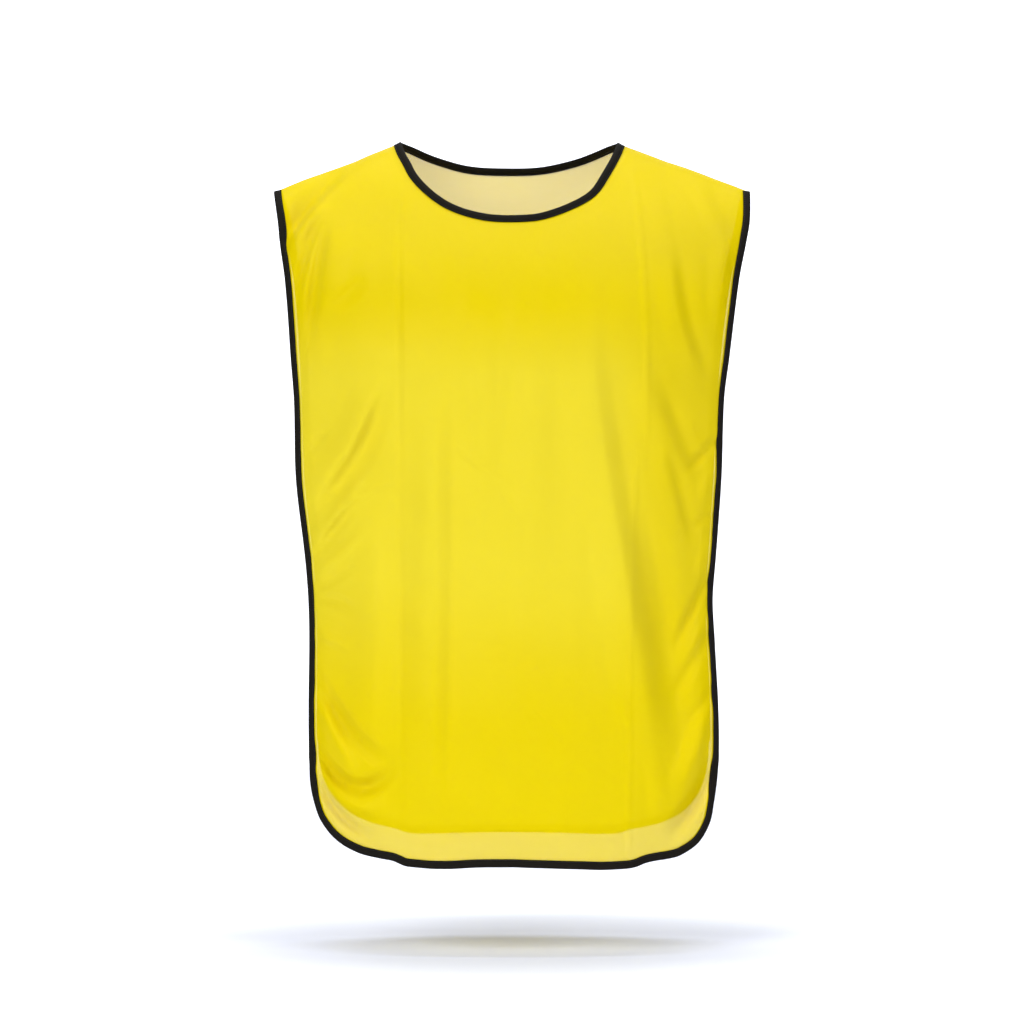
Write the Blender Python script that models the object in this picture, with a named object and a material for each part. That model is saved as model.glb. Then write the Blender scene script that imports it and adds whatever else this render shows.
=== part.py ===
"""Sleeveless mesh training bib, hollow and in its worn shape.

A front and a back panel meet at the shoulder seams. Black tape is folded over the neck edge and over the
whole outer edge, and a short elastic at each side of the waist joins the front to the back.
Metres, +Z up. The front faces -Y, and left and right are as seen from the front.
The origin lies midway between the two shoulder seams, at their middle height.
"""
import math
from collections import namedtuple

import bpy
from mathutils import Vector

# Thicknesses and the gap between neighbouring pieces
PANEL_WALL = 0.0010
TAPE_WALL = 0.0010
ELASTIC_WALL = 0.0012
SEAM_GAP = 0.0003
TAPE_WIDTH = 0.0080

# Shoulder seams and neck
TIP_X = 0.2321
TIP_HEIGHT = -0.0240
NECK_HALF = 0.1072
NECK_CENTRE = -0.0027
NECK_SIDE_HEIGHT = 0.0240
SEAM_SLOPE = (NECK_SIDE_HEIGHT - TIP_HEIGHT) / (TIP_X - NECK_HALF)

# Side elastics
ELASTIC_TOP = -0.4000
ELASTIC_BEND = 0.0150
ELASTIC_STEPS = 8

# Cells of each panel: across one shoulder, across the neck, and down the side
SHOULDER_CELLS = 5
NECK_CELLS = 14
FIRST_ROW = 0.0020
FULL_ROW = 0.0235
ROW_GROWTH = 1.4
CORNER_ROW = 0.0150
SEAM_BLEND = 0.0600

# Steps of the smooth curves that the cells are read from
CURVE_STEPS = 24
FOLD_STEPS = 8

# How deep the worn panel stands off the seam plane at each height, and how wide it is there
Section = namedtuple("Section", "height left right middle_depth edge_depth")

FRONT_SECTIONS = [
    Section(-0.024, 0.2321, 0.2321, 0.1080, 0.0440),
    Section(-0.054, 0.2270, 0.2303, 0.1100, 0.0450),
    Section(-0.074, 0.2247, 0.2266, 0.1120, 0.0460),
    Section(-0.113, 0.2189, 0.2189, 0.1170, 0.0470),
    Section(-0.190, 0.2131, 0.2092, 0.1240, 0.0470),
    Section(-0.229, 0.2102, 0.2044, 0.1220, 0.0460),
    Section(-0.307, 0.2082, 0.2019, 0.1170, 0.0430),
    Section(-0.384, 0.1995, 0.1966, 0.1130, 0.0390),
    Section(-0.423, 0.1966, 0.1937, 0.1120, 0.0385),
    Section(-0.462, 0.1956, 0.1956, 0.1125, 0.0400),
    Section(-0.539, 0.1960, 0.1992, 0.1160, 0.0460),
    Section(-0.600, 0.1950, 0.1990, 0.1190, 0.0520),
    Section(-0.690, 0.1950, 0.1990, 0.1210, 0.0580),
]

BACK_SECTIONS = [
    Section(-0.024, 0.2321, 0.2321, 0.0980, 0.0440),
    Section(-0.054, 0.2245, 0.2270, 0.1020, 0.0445),
    Section(-0.074, 0.2210, 0.2228, 0.1040, 0.0450),
    Section(-0.113, 0.2146, 0.2146, 0.1080, 0.0450),
    Section(-0.190, 0.2089, 0.2050, 0.1060, 0.0440),
    Section(-0.307, 0.2040, 0.1979, 0.0960, 0.0400),
    Section(-0.384, 0.1955, 0.1927, 0.0910, 0.0360),
    Section(-0.423, 0.1927, 0.1898, 0.0910, 0.0355),
    Section(-0.462, 0.1917, 0.1917, 0.0930, 0.0370),
    Section(-0.539, 0.1921, 0.1952, 0.0990, 0.0420),
    Section(-0.690, 0.1911, 0.1950, 0.1050, 0.0500),
]

# Largest folds: three points (x, z) of the fold's line, half its width, and how far it stands out
Fold = namedtuple("Fold", "start middle end half_width height")

FRONT_FOLDS = [
    Fold((-0.081, -0.195), (-0.083, -0.384), (-0.090, -0.480), 0.015, 0.0030),
    Fold((-0.064, -0.215), (-0.063, -0.384), (-0.061, -0.640), 0.014, -0.0030),
    Fold((0.075, -0.215), (0.079, -0.384), (0.086, -0.450), 0.018, 0.0035),
    Fold((0.086, -0.200), (0.118, -0.365), (0.150, -0.540), 0.016, -0.0045),
    Fold((0.122, -0.215), (0.136, -0.262), (0.149, -0.345), 0.013, 0.0028),
    Fold((-0.131, -0.200), (-0.159, -0.262), (-0.194, -0.305), 0.014, 0.0030),
    Fold((-0.136, -0.222), (-0.151, -0.275), (-0.196, -0.345), 0.013, -0.0040),
    Fold((-0.148, -0.305), (-0.170, -0.338), (-0.196, -0.375), 0.012, 0.0025),
    Fold((0.198, -0.550), (0.176, -0.600), (0.150, -0.640), 0.014, -0.0030),
    Fold((-0.196, -0.555), (-0.172, -0.585), (-0.115, -0.575), 0.014, -0.0025),
    Fold((-0.206, -0.045), (-0.205, -0.070), (-0.200, -0.100), 0.020, -0.0035),
]

BACK_FOLDS = [
    Fold((-0.070, -0.180), (-0.078, -0.330), (-0.066, -0.560), 0.017, -0.0035),
    Fold((-0.030, -0.230), (-0.036, -0.380), (-0.030, -0.500), 0.016, 0.0030),
    Fold((0.052, -0.200), (0.060, -0.400), (0.048, -0.600), 0.018, -0.0035),
    Fold((0.090, -0.170), (0.098, -0.300), (0.110, -0.470), 0.015, 0.0030),
    Fold((0.120, -0.220), (0.150, -0.310), (0.190, -0.372), 0.014, -0.0040),
    Fold((-0.118, -0.215), (-0.150, -0.300), (-0.192, -0.365), 0.014, -0.0040),
    Fold((-0.190, -0.470), (-0.150, -0.500), (-0.100, -0.560), 0.014, -0.0030),
    Fold((0.190, -0.460), (0.155, -0.500), (0.125, -0.580), 0.014, -0.0030),
]

# What sets the front apart from the back. turn_reach is how far below the seam the cloth has turned over
# the shoulder, at the middle and at the edge; hem_flat is the level stretch of the hem to each side.
Cut = namedtuple(
    "Cut",
    "facing sections folds roundness neck_drop neck_power turn_reach turn_powers "
    "hem_height hem_flat hem_slope corner_radius",
)

FRONT = Cut(
    facing=-1,
    sections=FRONT_SECTIONS,
    folds=FRONT_FOLDS,
    roundness=2.4,
    neck_drop=0.0800,
    neck_power=1.25,
    turn_reach=(0.200, 0.120),
    turn_powers=(2.4, 0.70),
    hem_height=-0.6745,
    hem_flat=(0.108, 0.119),
    hem_slope=(0.24, 0.18),
    corner_radius=(0.078, 0.068),
)

BACK = Cut(
    facing=1,
    sections=BACK_SECTIONS,
    folds=BACK_FOLDS,
    roundness=2.6,
    neck_drop=0.0200,
    neck_power=1.70,
    turn_reach=(0.200, 0.120),
    turn_powers=(3.0, 0.62),
    hem_height=-0.6590,
    hem_flat=(0.108, 0.110),
    hem_slope=(0.22, 0.22),
    corner_radius=(0.074, 0.070),
)

Finish = namedtuple("Finish", "name colour roughness")
MESH_CLOTH = Finish("mesh_cloth_yellow", (0.93, 0.74, 0.02, 1.0), 0.60)
BINDING_TAPE = Finish("binding_black", (0.010, 0.009, 0.008, 1.0), 0.75)
ELASTIC = Finish("elastic_black", (0.012, 0.011, 0.010, 1.0), 0.80)


def section_at(sections, height):
    """Width and depth of a panel at a height, read smoothly between the rows of its table."""
    last = len(sections) - 1
    below = 1
    while below < last and sections[below].height > height:
        below += 1
    rows = [sections[min(max(below + step, 0), last)] for step in (-2, -1, 0, 1)]
    span = rows[2].height - rows[1].height
    t = min(max((height - rows[1].height) / span, 0.0), 1.0)
    values = []
    for before, start, end, after in list(zip(*rows))[1:]:
        rise_in = (end - before) * span / (rows[2].height - rows[0].height)
        rise_out = (after - start) * span / (rows[3].height - rows[1].height)
        values.append(
            (2 * t**3 - 3 * t**2 + 1) * start
            + (t**3 - 2 * t**2 + t) * rise_in
            + (3 * t**2 - 2 * t**3) * end
            + (t**3 - t**2) * rise_out
        )
    return Section(height, *values)


def seam_height(x):
    """Height of the shoulder seam at x, carried on over the neck as a low arch."""
    inside = NECK_HALF - abs(x)
    if inside <= 0:
        return NECK_SIDE_HEIGHT + SEAM_SLOPE * inside
    return NECK_SIDE_HEIGHT + SEAM_SLOPE * inside * (1 - inside / (2 * NECK_HALF))


def fold_offset(fold, x, z):
    """How far one fold moves the cloth at (x, z): full along its line, fading to its sides and ends."""
    point = Vector((x, z))
    start, middle, end = (Vector(place) for place in (fold.start, fold.middle, fold.end))
    nearest = fold.half_width
    nearest_along = 0.0
    before = start
    for step in range(1, FOLD_STEPS + 1):
        t = step / FOLD_STEPS
        after = (1 - t) ** 2 * start + 2 * t * (1 - t) * (2 * middle - (start + end) / 2) + t * t * end
        run = after - before
        reach = min(max((point - before).dot(run) / run.length_squared, 0.0), 1.0)
        distance = (point - before - reach * run).length
        if distance < nearest:
            nearest = distance
            nearest_along = (step - 1 + reach) / FOLD_STEPS
        before = after
    across = 1 - (nearest / fold.half_width) ** 2
    along = math.sin(math.pi * nearest_along)
    return fold.height * across**2 * math.sqrt(max(along, 0.0))


def on_cloth(cut, x, z):
    """The point of the worn panel, in the middle of its wall, that the front view shows at (x, z)."""
    row = section_at(cut.sections, z)
    half = row.left if x < 0 else row.right
    across = min(abs(x) / half, 1.0)
    full = row.edge_depth + (row.middle_depth - row.edge_depth) * (1 - across**cut.roundness)
    reach = cut.turn_reach[0] + (cut.turn_reach[1] - cut.turn_reach[0]) * across**2
    below_seam = min(max((seam_height(x) - z) / reach, 0.0), 1.0)
    steep, round_over = cut.turn_powers
    turned = (1 - (1 - below_seam) ** steep) ** round_over
    folds = sum(fold_offset(fold, x, z) for fold in cut.folds)
    return Vector((x, cut.facing * (SEAM_GAP / 2 + (full + folds) * turned), z))


def points_along(path, distances):
    """Points of a polyline at the given distances from its start."""
    points = []
    passed = 0.0
    index = 0
    for distance in distances:
        step = (path[index + 1] - path[index]).length
        while passed + step < distance and index < len(path) - 2:
            passed += step
            index += 1
            step = (path[index + 1] - path[index]).length
        points.append(path[index].lerp(path[index + 1], (distance - passed) / step))
    return points


def path_length(path):
    return sum((after - before).length for before, after in zip(path, path[1:]))


def half_outline(cut, side):
    """Side edge and half the hem of a panel in the front view, split at the middle of the hem corner.

    side is -1 for left and 1 for right. The hem is level near the middle, rises gently towards the
    side, and turns into the side edge in an arc.
    """
    column = 0 if side < 0 else 1
    radius = cut.corner_radius[column]
    slope = cut.hem_slope[column]
    flat = cut.hem_flat[column]
    half = section_at(cut.sections, cut.hem_height + radius)[1 + column]
    centre_x = half - radius
    hem_there = cut.hem_height + slope * (centre_x - flat)
    centre = Vector((side * centre_x, hem_there + radius * math.hypot(1, slope)))
    sweep = math.pi / 2 - math.atan(slope)
    arc = []
    for step in range(CURVE_STEPS + 1):
        angle = sweep * step / CURVE_STEPS
        arc.append(centre + radius * Vector((side * math.cos(angle), -math.sin(angle))))
    edge = []
    for step in range(CURVE_STEPS):
        z = TIP_HEIGHT + (centre.y - TIP_HEIGHT) * step / CURVE_STEPS
        edge.append(Vector((side * section_at(cut.sections, z)[1 + column], z)))
    middle = CURVE_STEPS // 2
    hem = arc[middle:] + [Vector((side * flat, cut.hem_height)), Vector((0.0, cut.hem_height))]
    return edge + arc[: middle + 1], hem


def shoulder_points():
    """Points of the left shoulder seam from its tip to the neck, the binding's width marked at both ends."""
    tip = Vector((-TIP_X, TIP_HEIGHT))
    neck_x = NECK_CENTRE - NECK_HALF
    neck = Vector((neck_x, seam_height(neck_x)))
    length = (neck - tip).length
    free = length - 2 * TAPE_WIDTH
    distances = [0.0]
    distances += [TAPE_WIDTH + free * step / SHOULDER_CELLS for step in range(SHOULDER_CELLS + 1)]
    distances.append(length)
    return points_along([tip, neck], distances)


def right_shoulder_points():
    tip = Vector((TIP_X, TIP_HEIGHT))
    neck_x = NECK_CENTRE + NECK_HALF
    neck = Vector((neck_x, seam_height(neck_x)))
    left = shoulder_points()
    whole = (left[-1] - left[0]).length
    return [neck.lerp(tip, (left[-1] - point).length / whole) for point in reversed(left)]


def neck_point(cut, angle):
    """Point of the neck edge: angle runs from 0 at the left seam to pi at the right one."""
    ends = [NECK_CENTRE - NECK_HALF, NECK_CENTRE + NECK_HALF]
    share = (1 - math.cos(angle)) / 2
    top = seam_height(ends[0]) + (seam_height(ends[1]) - seam_height(ends[0])) * share
    x = ends[0] + (ends[1] - ends[0]) * share
    return Vector((x, top - cut.neck_drop * max(math.sin(angle), 0.0) ** cut.neck_power))


def inset(cut, point, direction):
    """The point one tape width inside an edge, measured on the cloth and not in the front view."""
    inner = point + direction.normalized() * TAPE_WIDTH
    on_surface = (on_cloth(cut, *inner) - on_cloth(cut, *point)).length
    return point.lerp(inner, TAPE_WIDTH / on_surface)


def row_distances(total):
    """Distances down the side edge: short rows where the cloth turns over the shoulder, then even ones."""
    distances = [0.0]
    step = FIRST_ROW
    while distances[-1] + step < total - CORNER_ROW:
        distances.append(distances[-1] + step)
        step = min(step * ROW_GROWTH, FULL_ROW)
    scale = (total - CORNER_ROW) / distances[-1]
    even = [distance * scale if distance > FULL_ROW else distance for distance in distances]
    return even + [total]


class Panel:
    """A panel's points in rows and columns, their outward directions, and its cells as triangles."""

    def __init__(self, cut):
        self.cut = cut
        left_edge, left_hem = half_outline(cut, -1)
        right_edge, right_hem = half_outline(cut, 1)
        hem = left_hem + right_hem[-2::-1]
        left_rows = row_distances(path_length(left_edge))
        fractions = [distance / left_rows[-1] for distance in left_rows]
        left = points_along(left_edge, left_rows)
        right = points_along(right_edge, [path_length(right_edge) * part for part in fractions])
        self.neck_start = SHOULDER_CELLS + 2
        self.neck_end = self.neck_start + NECK_CELLS
        self.columns = self.neck_end + self.neck_start
        self.rows = len(left) - 1
        angles = [math.pi * step / NECK_CELLS for step in range(1, NECK_CELLS)]
        top = shoulder_points() + [neck_point(cut, angle) for angle in angles] + right_shoulder_points()
        hem_length = path_length(hem)
        across = [(point.x - top[0].x) / (top[-1].x - top[0].x) for point in top]
        hem_distances = [hem_length * part for part in across]
        hem_distances[1] = CORNER_ROW
        hem_distances[-2] = hem_length - CORNER_ROW
        bottom = points_along(hem, hem_distances)
        grid = self.fill(top, bottom, left, right, fractions, across)
        self.points = {key: on_cloth(cut, *place) for key, place in grid.items()}
        self.normals = self.outward()

    def fill(self, top, bottom, left, right, fractions, across):
        """Front-view places of all grid points: the edges, a ring one tape width inside, and the rest."""
        last_column = self.columns
        last_row = self.rows
        seam = (top[1] - top[0]).normalized()
        grid = {}
        for row in range(last_row + 1):
            grid[0, row] = left[row]
            grid[last_column, row] = right[row]
        for column in range(last_column + 1):
            grid[column, 0] = top[column]
            grid[column, last_row] = bottom[column]
        for row in range(1, last_row):
            eased = min((left[0] - left[row]).length / SEAM_BLEND, 1.0)
            for column, edge, side in ((1, left, 1), (last_column - 1, right, -1)):
                along = edge[row + 1] - edge[row - 1]
                square = Vector((-along.y * side, along.x * side))
                start = Vector((seam.x * side, seam.y))
                grid[column, row] = inset(self.cut, edge[row], start.lerp(square.normalized(), eased))
        for column in range(2, last_column - 1):
            along = bottom[column + 1] - bottom[column - 1]
            grid[column, last_row - 1] = inset(self.cut, bottom[column], Vector((-along.y, along.x)))
            if self.neck_start < column < self.neck_end:
                along = top[column + 1] - top[column - 1]
                grid[column, 1] = inset(self.cut, top[column], Vector((along.y, -along.x)))
            else:
                down = Vector((0.0, -(left[0] - left[1]).length))
                grid[column, 1] = top[column] + down
        for corner, toward in ((1, 1), (last_column - 1, -1)):
            neighbours = grid[corner - toward, last_row - 1] - grid[corner, last_row]
            square = Vector((neighbours.y * -toward, neighbours.x * toward))
            edge_corner = grid[corner - toward, last_row]
            grid[corner, last_row - 1] = inset(self.cut, edge_corner, -square)
        self.fan_at_neck(grid)
        first = (1, 1)
        for column in range(2, last_column - 1):
            u = (across[column] - across[1]) / (across[-2] - across[1])
            for row in range(2, last_row - 1):
                v = (fractions[row] - fractions[1]) / (fractions[-2] - fractions[1])
                near = grid[1, row].lerp(grid[last_column - 1, row], u)
                span = grid[column, 1].lerp(grid[column, last_row - 1], v)
                upper = grid[first].lerp(grid[last_column - 1, 1], u)
                lower = grid[1, last_row - 1].lerp(grid[last_column - 1, last_row - 1], u)
                grid[column, row] = near + span - upper.lerp(lower, v)
        return grid

    def fan_at_neck(self, grid):
        """Moves the two second-row points beside each neck corner onto the binding's inner line."""
        for corner, toward in ((self.neck_start, 1), (self.neck_end, -1)):
            seam_point = grid[corner - toward, 0]
            inner = grid[corner + toward, 1]
            grid[corner - toward, 1] = seam_point.lerp(inner, 1 / 3)
            grid[corner, 1] = seam_point.lerp(inner, 2 / 3)

    def cell(self, column, row):
        """Two triangles of a cell, facing out, split so that the corner cells stay well shaped."""
        a, b = (column, row), (column + 1, row)
        c, d = (column + 1, row + 1), (column, row + 1)
        if column < self.columns / 2:
            triangles = [(a, d, b), (b, d, c)]
        else:
            triangles = [(a, c, b), (a, d, c)]
        if self.cut.facing > 0:
            triangles = [tuple(reversed(triangle)) for triangle in triangles]
        return triangles

    def cells(self):
        return [(column, row) for row in range(self.rows) for column in range(self.columns)]

    def waist_row(self):
        """The row of cells that the side elastics are sewn to."""
        return min(range(self.rows), key=lambda row: abs(self.points[0, row].z - ELASTIC_TOP))

    def on_seam(self, key):
        return key[1] == 0 and not self.neck_start < key[0] < self.neck_end

    def outward(self):
        """Outward direction at each point; at a shoulder seam it is square to the seam and has no Y."""
        sums = {key: Vector() for key in self.points}
        for cell in self.cells():
            for triangle in self.cell(*cell):
                a, b, c = (self.points[key] for key in triangle)
                facing = (b - a).cross(c - a)
                for key in triangle:
                    sums[key] += facing
        rise = Vector((SEAM_SLOPE, 0.0, 1.0)).normalized()
        for key in sums:
            if self.on_seam(key):
                side = -1 if key[0] < self.columns / 2 else 1
                sums[key] = Vector((rise.x * side, 0.0, rise.z))
        return {key: total.normalized() for key, total in sums.items()}

    def edge_direction(self, key):
        """Direction along the cloth that leads out over its bound edge, from the inner ring outwards."""
        column, row = key
        inner = [min(max(column, 1), self.columns - 1), min(row, self.rows - 1)]
        if row == 0 and self.neck_start < column < self.neck_end:
            inner[1] = 1
        if key == (self.neck_start, 0):
            inner[0] = column - 1
        if key == (self.neck_end, 0):
            inner[0] = column + 1
        away = self.points[key] - self.points[tuple(inner)]
        normal = self.normals[key]
        return (away - away.dot(normal) * normal).normalized()


class Body:
    """Collects the points and triangles of one closed solid."""

    def __init__(self):
        self.numbers = {}
        self.points = []
        self.faces = []

    def point(self, key, place):
        if key not in self.numbers:
            self.numbers[key] = len(self.points)
            self.points.append(place)
        return self.numbers[key]

    def triangle(self, *numbers):
        if len(set(numbers)) == 3:
            self.faces.append(numbers)

    def quad(self, a, b, c, d):
        self.triangle(a, b, c)
        self.triangle(a, c, d)

    def build(self, name, finish):
        mesh = bpy.data.meshes.new(name)
        mesh.from_pydata(self.points, [], self.faces)
        mesh.validate()
        mesh.shade_smooth()
        mesh.set_sharp_from_angle(angle=math.radians(40))
        mesh.materials.append(material(finish))
        piece = bpy.data.objects.new(name, mesh)
        bpy.context.scene.collection.objects.link(piece)
        return piece


def material(finish):
    existing = bpy.data.materials.get(finish.name)
    if existing:
        return existing
    made = bpy.data.materials.new(finish.name)
    made.use_nodes = True
    surface = made.node_tree.nodes["Principled BSDF"]
    surface.inputs["Base Color"].default_value = finish.colour
    surface.inputs["Roughness"].default_value = finish.roughness
    surface.inputs["Metallic"].default_value = 0.0
    return made


def open_edges(triangles):
    """Edges that only one of the triangles has, in its direction."""
    edges = {(t[i], t[(i + 1) % 3]) for t in triangles for i in range(3)}
    return [(a, b) for a, b in sorted(edges) if (b, a) not in edges]


def make_panel(panel, name):
    """The panel's wall: its points moved half a wall out and half a wall in, closed round the edge."""
    body = Body()
    outer = {}
    inner = {}
    for key, point in panel.points.items():
        step = panel.normals[key] * (PANEL_WALL / 2)
        outer[key] = body.point((key, "out"), point + step)
        inner[key] = body.point((key, "in"), point - step)
    triangles = [triangle for cell in panel.cells() for triangle in panel.cell(*cell)]
    for a, b, c in triangles:
        body.triangle(outer[a], outer[b], outer[c])
        body.triangle(inner[c], inner[b], inner[a])
    for a, b in open_edges(triangles):
        body.quad(outer[b], outer[a], inner[a], inner[b])
    return body.build(name, MESH_CLOTH)


def add_tape(body, panel, cells, bound):
    """Adds the tape that is folded over the bound edge of some border cells of a panel.

    It has a leg on each face of the panel and a rounded back along the edge. At a shoulder seam its
    points lie in the seam plane and are shared with the tape of the other panel.
    """
    face = PANEL_WALL / 2 + SEAM_GAP
    back = face + TAPE_WALL
    triangles = [triangle for cell in cells for triangle in panel.cell(*cell)]
    rings = {}
    for key in {key for triangle in triangles for key in triangle}:
        point = panel.points[key]
        normal = panel.normals[key]
        out = panel.edge_direction(key) if bound(key) else Vector()
        places = [
            point + normal * back + out * SEAM_GAP,
            point + normal * face + out * SEAM_GAP,
            point - normal * face + out * SEAM_GAP,
            point - normal * back + out * SEAM_GAP,
            point + out * (SEAM_GAP + TAPE_WALL),
        ]
        shared = panel.on_seam(key)
        side = "seam" if shared else panel.cut.facing
        if shared:
            places = [Vector((place.x, 0.0, place.z)) for place in places]
        wanted = places if bound(key) else places[:4]
        rings[key] = [body.point((side, key, index), place) for index, place in enumerate(wanted)]
    for a, b, c in triangles:
        for index, outward in enumerate((True, False, True, False)):
            numbers = [rings[key][index] for key in (a, b, c)]
            body.triangle(*(numbers if outward else reversed(numbers)))
    for a, b in open_edges(triangles):
        if panel.on_seam(a) and panel.on_seam(b):
            continue
        top_a, under_a, above_a, low_a = rings[a][:4]
        top_b, under_b, above_b, low_b = rings[b][:4]
        if bound(a) and bound(b):
            ridge_a, ridge_b = rings[a][4], rings[b][4]
            body.quad(top_b, top_a, ridge_a, ridge_b)
            body.quad(ridge_b, ridge_a, low_a, low_b)
            body.quad(under_a, under_b, above_b, above_a)
        else:
            body.quad(top_b, top_a, under_a, under_b)
            body.quad(above_b, above_a, low_a, low_b)


def make_neck_binding(panels):
    body = Body()
    for panel in panels:
        start, end = panel.neck_start, panel.neck_end
        cells = [(column, 0) for column in range(start - 1, end + 1)]
        add_tape(body, panel, cells, lambda key: key[1] == 0 and start <= key[0] <= end)
    return body.build("neck_binding", BINDING_TAPE)


def make_edge_binding(panels):
    body = Body()
    for panel in panels:
        last_column, last_row = panel.columns, panel.rows
        cells = [
            (column, row)
            for column, row in panel.cells()
            if column in (0, last_column - 1) or row == last_row - 1
        ]
        add_tape(body, panel, cells, lambda key: key[0] in (0, last_column) or key[1] == last_row)
    return body.build("edge_binding", BINDING_TAPE)


def elastic_line(panels, side, lower):
    """One long edge of a side elastic: along the front tape, across the open side, along the back tape."""
    inward = PANEL_WALL / 2 + 2 * SEAM_GAP + TAPE_WALL
    ends = []
    for panel in panels:
        edge = 0 if side < 0 else panel.columns
        ring = edge - side
        row = panel.waist_row() + lower
        inner = panel.points[ring, row] - panel.normals[ring, row] * inward
        outer = panel.points[edge, row] - panel.normals[edge, row] * inward
        ends.append((inner, outer))
    (front_inner, front_outer), (back_inner, back_outer) = ends
    leave = (front_outer - front_inner).normalized() * ELASTIC_BEND
    arrive = (back_inner - back_outer).normalized() * ELASTIC_BEND
    line = [front_inner]
    for step in range(ELASTIC_STEPS + 1):
        t = step / ELASTIC_STEPS
        line.append(
            (2 * t**3 - 3 * t**2 + 1) * front_outer
            + (t**3 - 2 * t**2 + t) * leave
            + (3 * t**2 - 2 * t**3) * back_outer
            + (t**3 - t**2) * arrive
        )
    return line + [back_inner]


def make_elastic(panels, side, name):
    """A flat band: its outer face follows two lines, and its inner face lies one wall further in."""
    body = Body()
    lines = [elastic_line(panels, side, lower) for lower in (0, 1)]
    rings = []
    last = len(lines[0]) - 1
    for index in range(last + 1):
        ring = []
        for number, line in enumerate(lines):
            along = line[min(index + 1, last)] - line[max(index - 1, 0)]
            inward = along.cross(Vector((0.0, 0.0, side))).normalized() * -ELASTIC_WALL
            ring.append(body.point((index, number, "out"), line[index]))
            ring.append(body.point((index, number, "in"), line[index] + inward))
        rings.append(ring)
    for before, after in zip(rings, rings[1:]):
        for start, end in ((0, 2), (2, 3), (3, 1), (1, 0)):
            corners = (before[start], before[end], after[end], after[start])
            body.quad(*(corners if side > 0 else reversed(corners)))
    for ring, closing in ((rings[0], 1), (rings[-1], -1)):
        corners = (ring[0], ring[1], ring[3], ring[2])
        body.quad(*(corners if closing * side > 0 else reversed(corners)))
    return body.build(name, ELASTIC)


for leftover in list(bpy.data.objects):
    bpy.data.objects.remove(leftover)

front = Panel(FRONT)
back = Panel(BACK)
make_panel(front, "front_panel")
make_panel(back, "back_panel")
make_neck_binding((front, back))
make_edge_binding((front, back))
make_elastic((front, back), -1, "side_elastic_left")
make_elastic((front, back), 1, "side_elastic_right")
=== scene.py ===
"""A sleeveless mesh training bib in its worn shape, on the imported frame. Metres, +Z up, front to -Y."""
import math
from collections import namedtuple

import bmesh
import bpy
import numpy as np
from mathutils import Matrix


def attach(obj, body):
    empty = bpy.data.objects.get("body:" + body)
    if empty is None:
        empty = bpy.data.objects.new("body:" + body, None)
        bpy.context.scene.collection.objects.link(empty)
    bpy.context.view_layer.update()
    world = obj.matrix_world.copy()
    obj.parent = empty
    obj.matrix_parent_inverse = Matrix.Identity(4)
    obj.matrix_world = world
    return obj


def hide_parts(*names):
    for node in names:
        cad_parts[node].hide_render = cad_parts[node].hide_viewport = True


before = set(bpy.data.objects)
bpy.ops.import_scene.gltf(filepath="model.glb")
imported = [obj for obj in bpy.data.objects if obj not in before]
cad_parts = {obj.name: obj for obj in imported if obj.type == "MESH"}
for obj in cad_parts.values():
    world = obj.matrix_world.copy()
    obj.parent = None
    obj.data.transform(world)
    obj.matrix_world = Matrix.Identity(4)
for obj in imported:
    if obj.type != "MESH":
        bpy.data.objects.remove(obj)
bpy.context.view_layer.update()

# Camera: a long lens, level with the middle of the picture and square to the front.
CAMERA_DISTANCE = 4.0
CAMERA_HEIGHT = -0.3377
PICTURE_WIDTH = 1.0045
SENSOR_WIDTH = 36.0


def place_object(name, data):
    """A new object in the scene, with the given data."""
    placed = bpy.data.objects.new(name, data)
    bpy.context.scene.collection.objects.link(placed)
    return placed


camera_data = bpy.data.cameras.new("camera")
camera_data.sensor_width = SENSOR_WIDTH
camera_data.lens = SENSOR_WIDTH * CAMERA_DISTANCE / PICTURE_WIDTH
camera = place_object("camera", camera_data)
camera.location = (0.0, -CAMERA_DISTANCE, CAMERA_HEIGHT)
camera.rotation_euler = (math.pi / 2, 0.0, 0.0)
bpy.context.scene.camera = camera

# Front panel
# One piece of yellow warp-knit mesh with a deep round neck and rounded hem corners. It hangs from the
# shoulder seams in its worn shape, turned back at its sides, with packing creases and soft drag folds.
CLOTH_WALL = 0.0006
TAPE_WIDTH = 0.0065
NECK_ENDS = (-0.1099, 0.1045)
NECK_ARCH_SLOPE = 0.39
SHOULDER_CELLS = 44
NECK_CELLS = 96
ROWS = 250
ROWS_CLOSER_ABOVE = 1.4
CURVE_STEPS = 300
FOLD_STEPS = 10
FOLD_FADE = 0.34
CUT_STEPS = 24
CUT_MIDDLE = -0.3400
CUT_ORIGIN = (0.50, 0.45)

# The shoulder seams in the front view (x, z), from the left tip to the right one
SHOULDER_SEAMS = [
    (-0.2321, -0.0240), (-0.218, -0.0180), (-0.204, -0.0122), (-0.187, -0.0063), (-0.170, -0.0003),
    (-0.154, 0.0056), (-0.141, 0.0115), (-0.129, 0.0162), (-0.1099, 0.0240),
    (0.1045, 0.0232), (0.136, 0.0115), (0.151, 0.0057), (0.170, -0.0003), (0.186, -0.0062),
    (0.201, -0.0121), (0.217, -0.0179), (0.2321, -0.0240),
]

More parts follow.
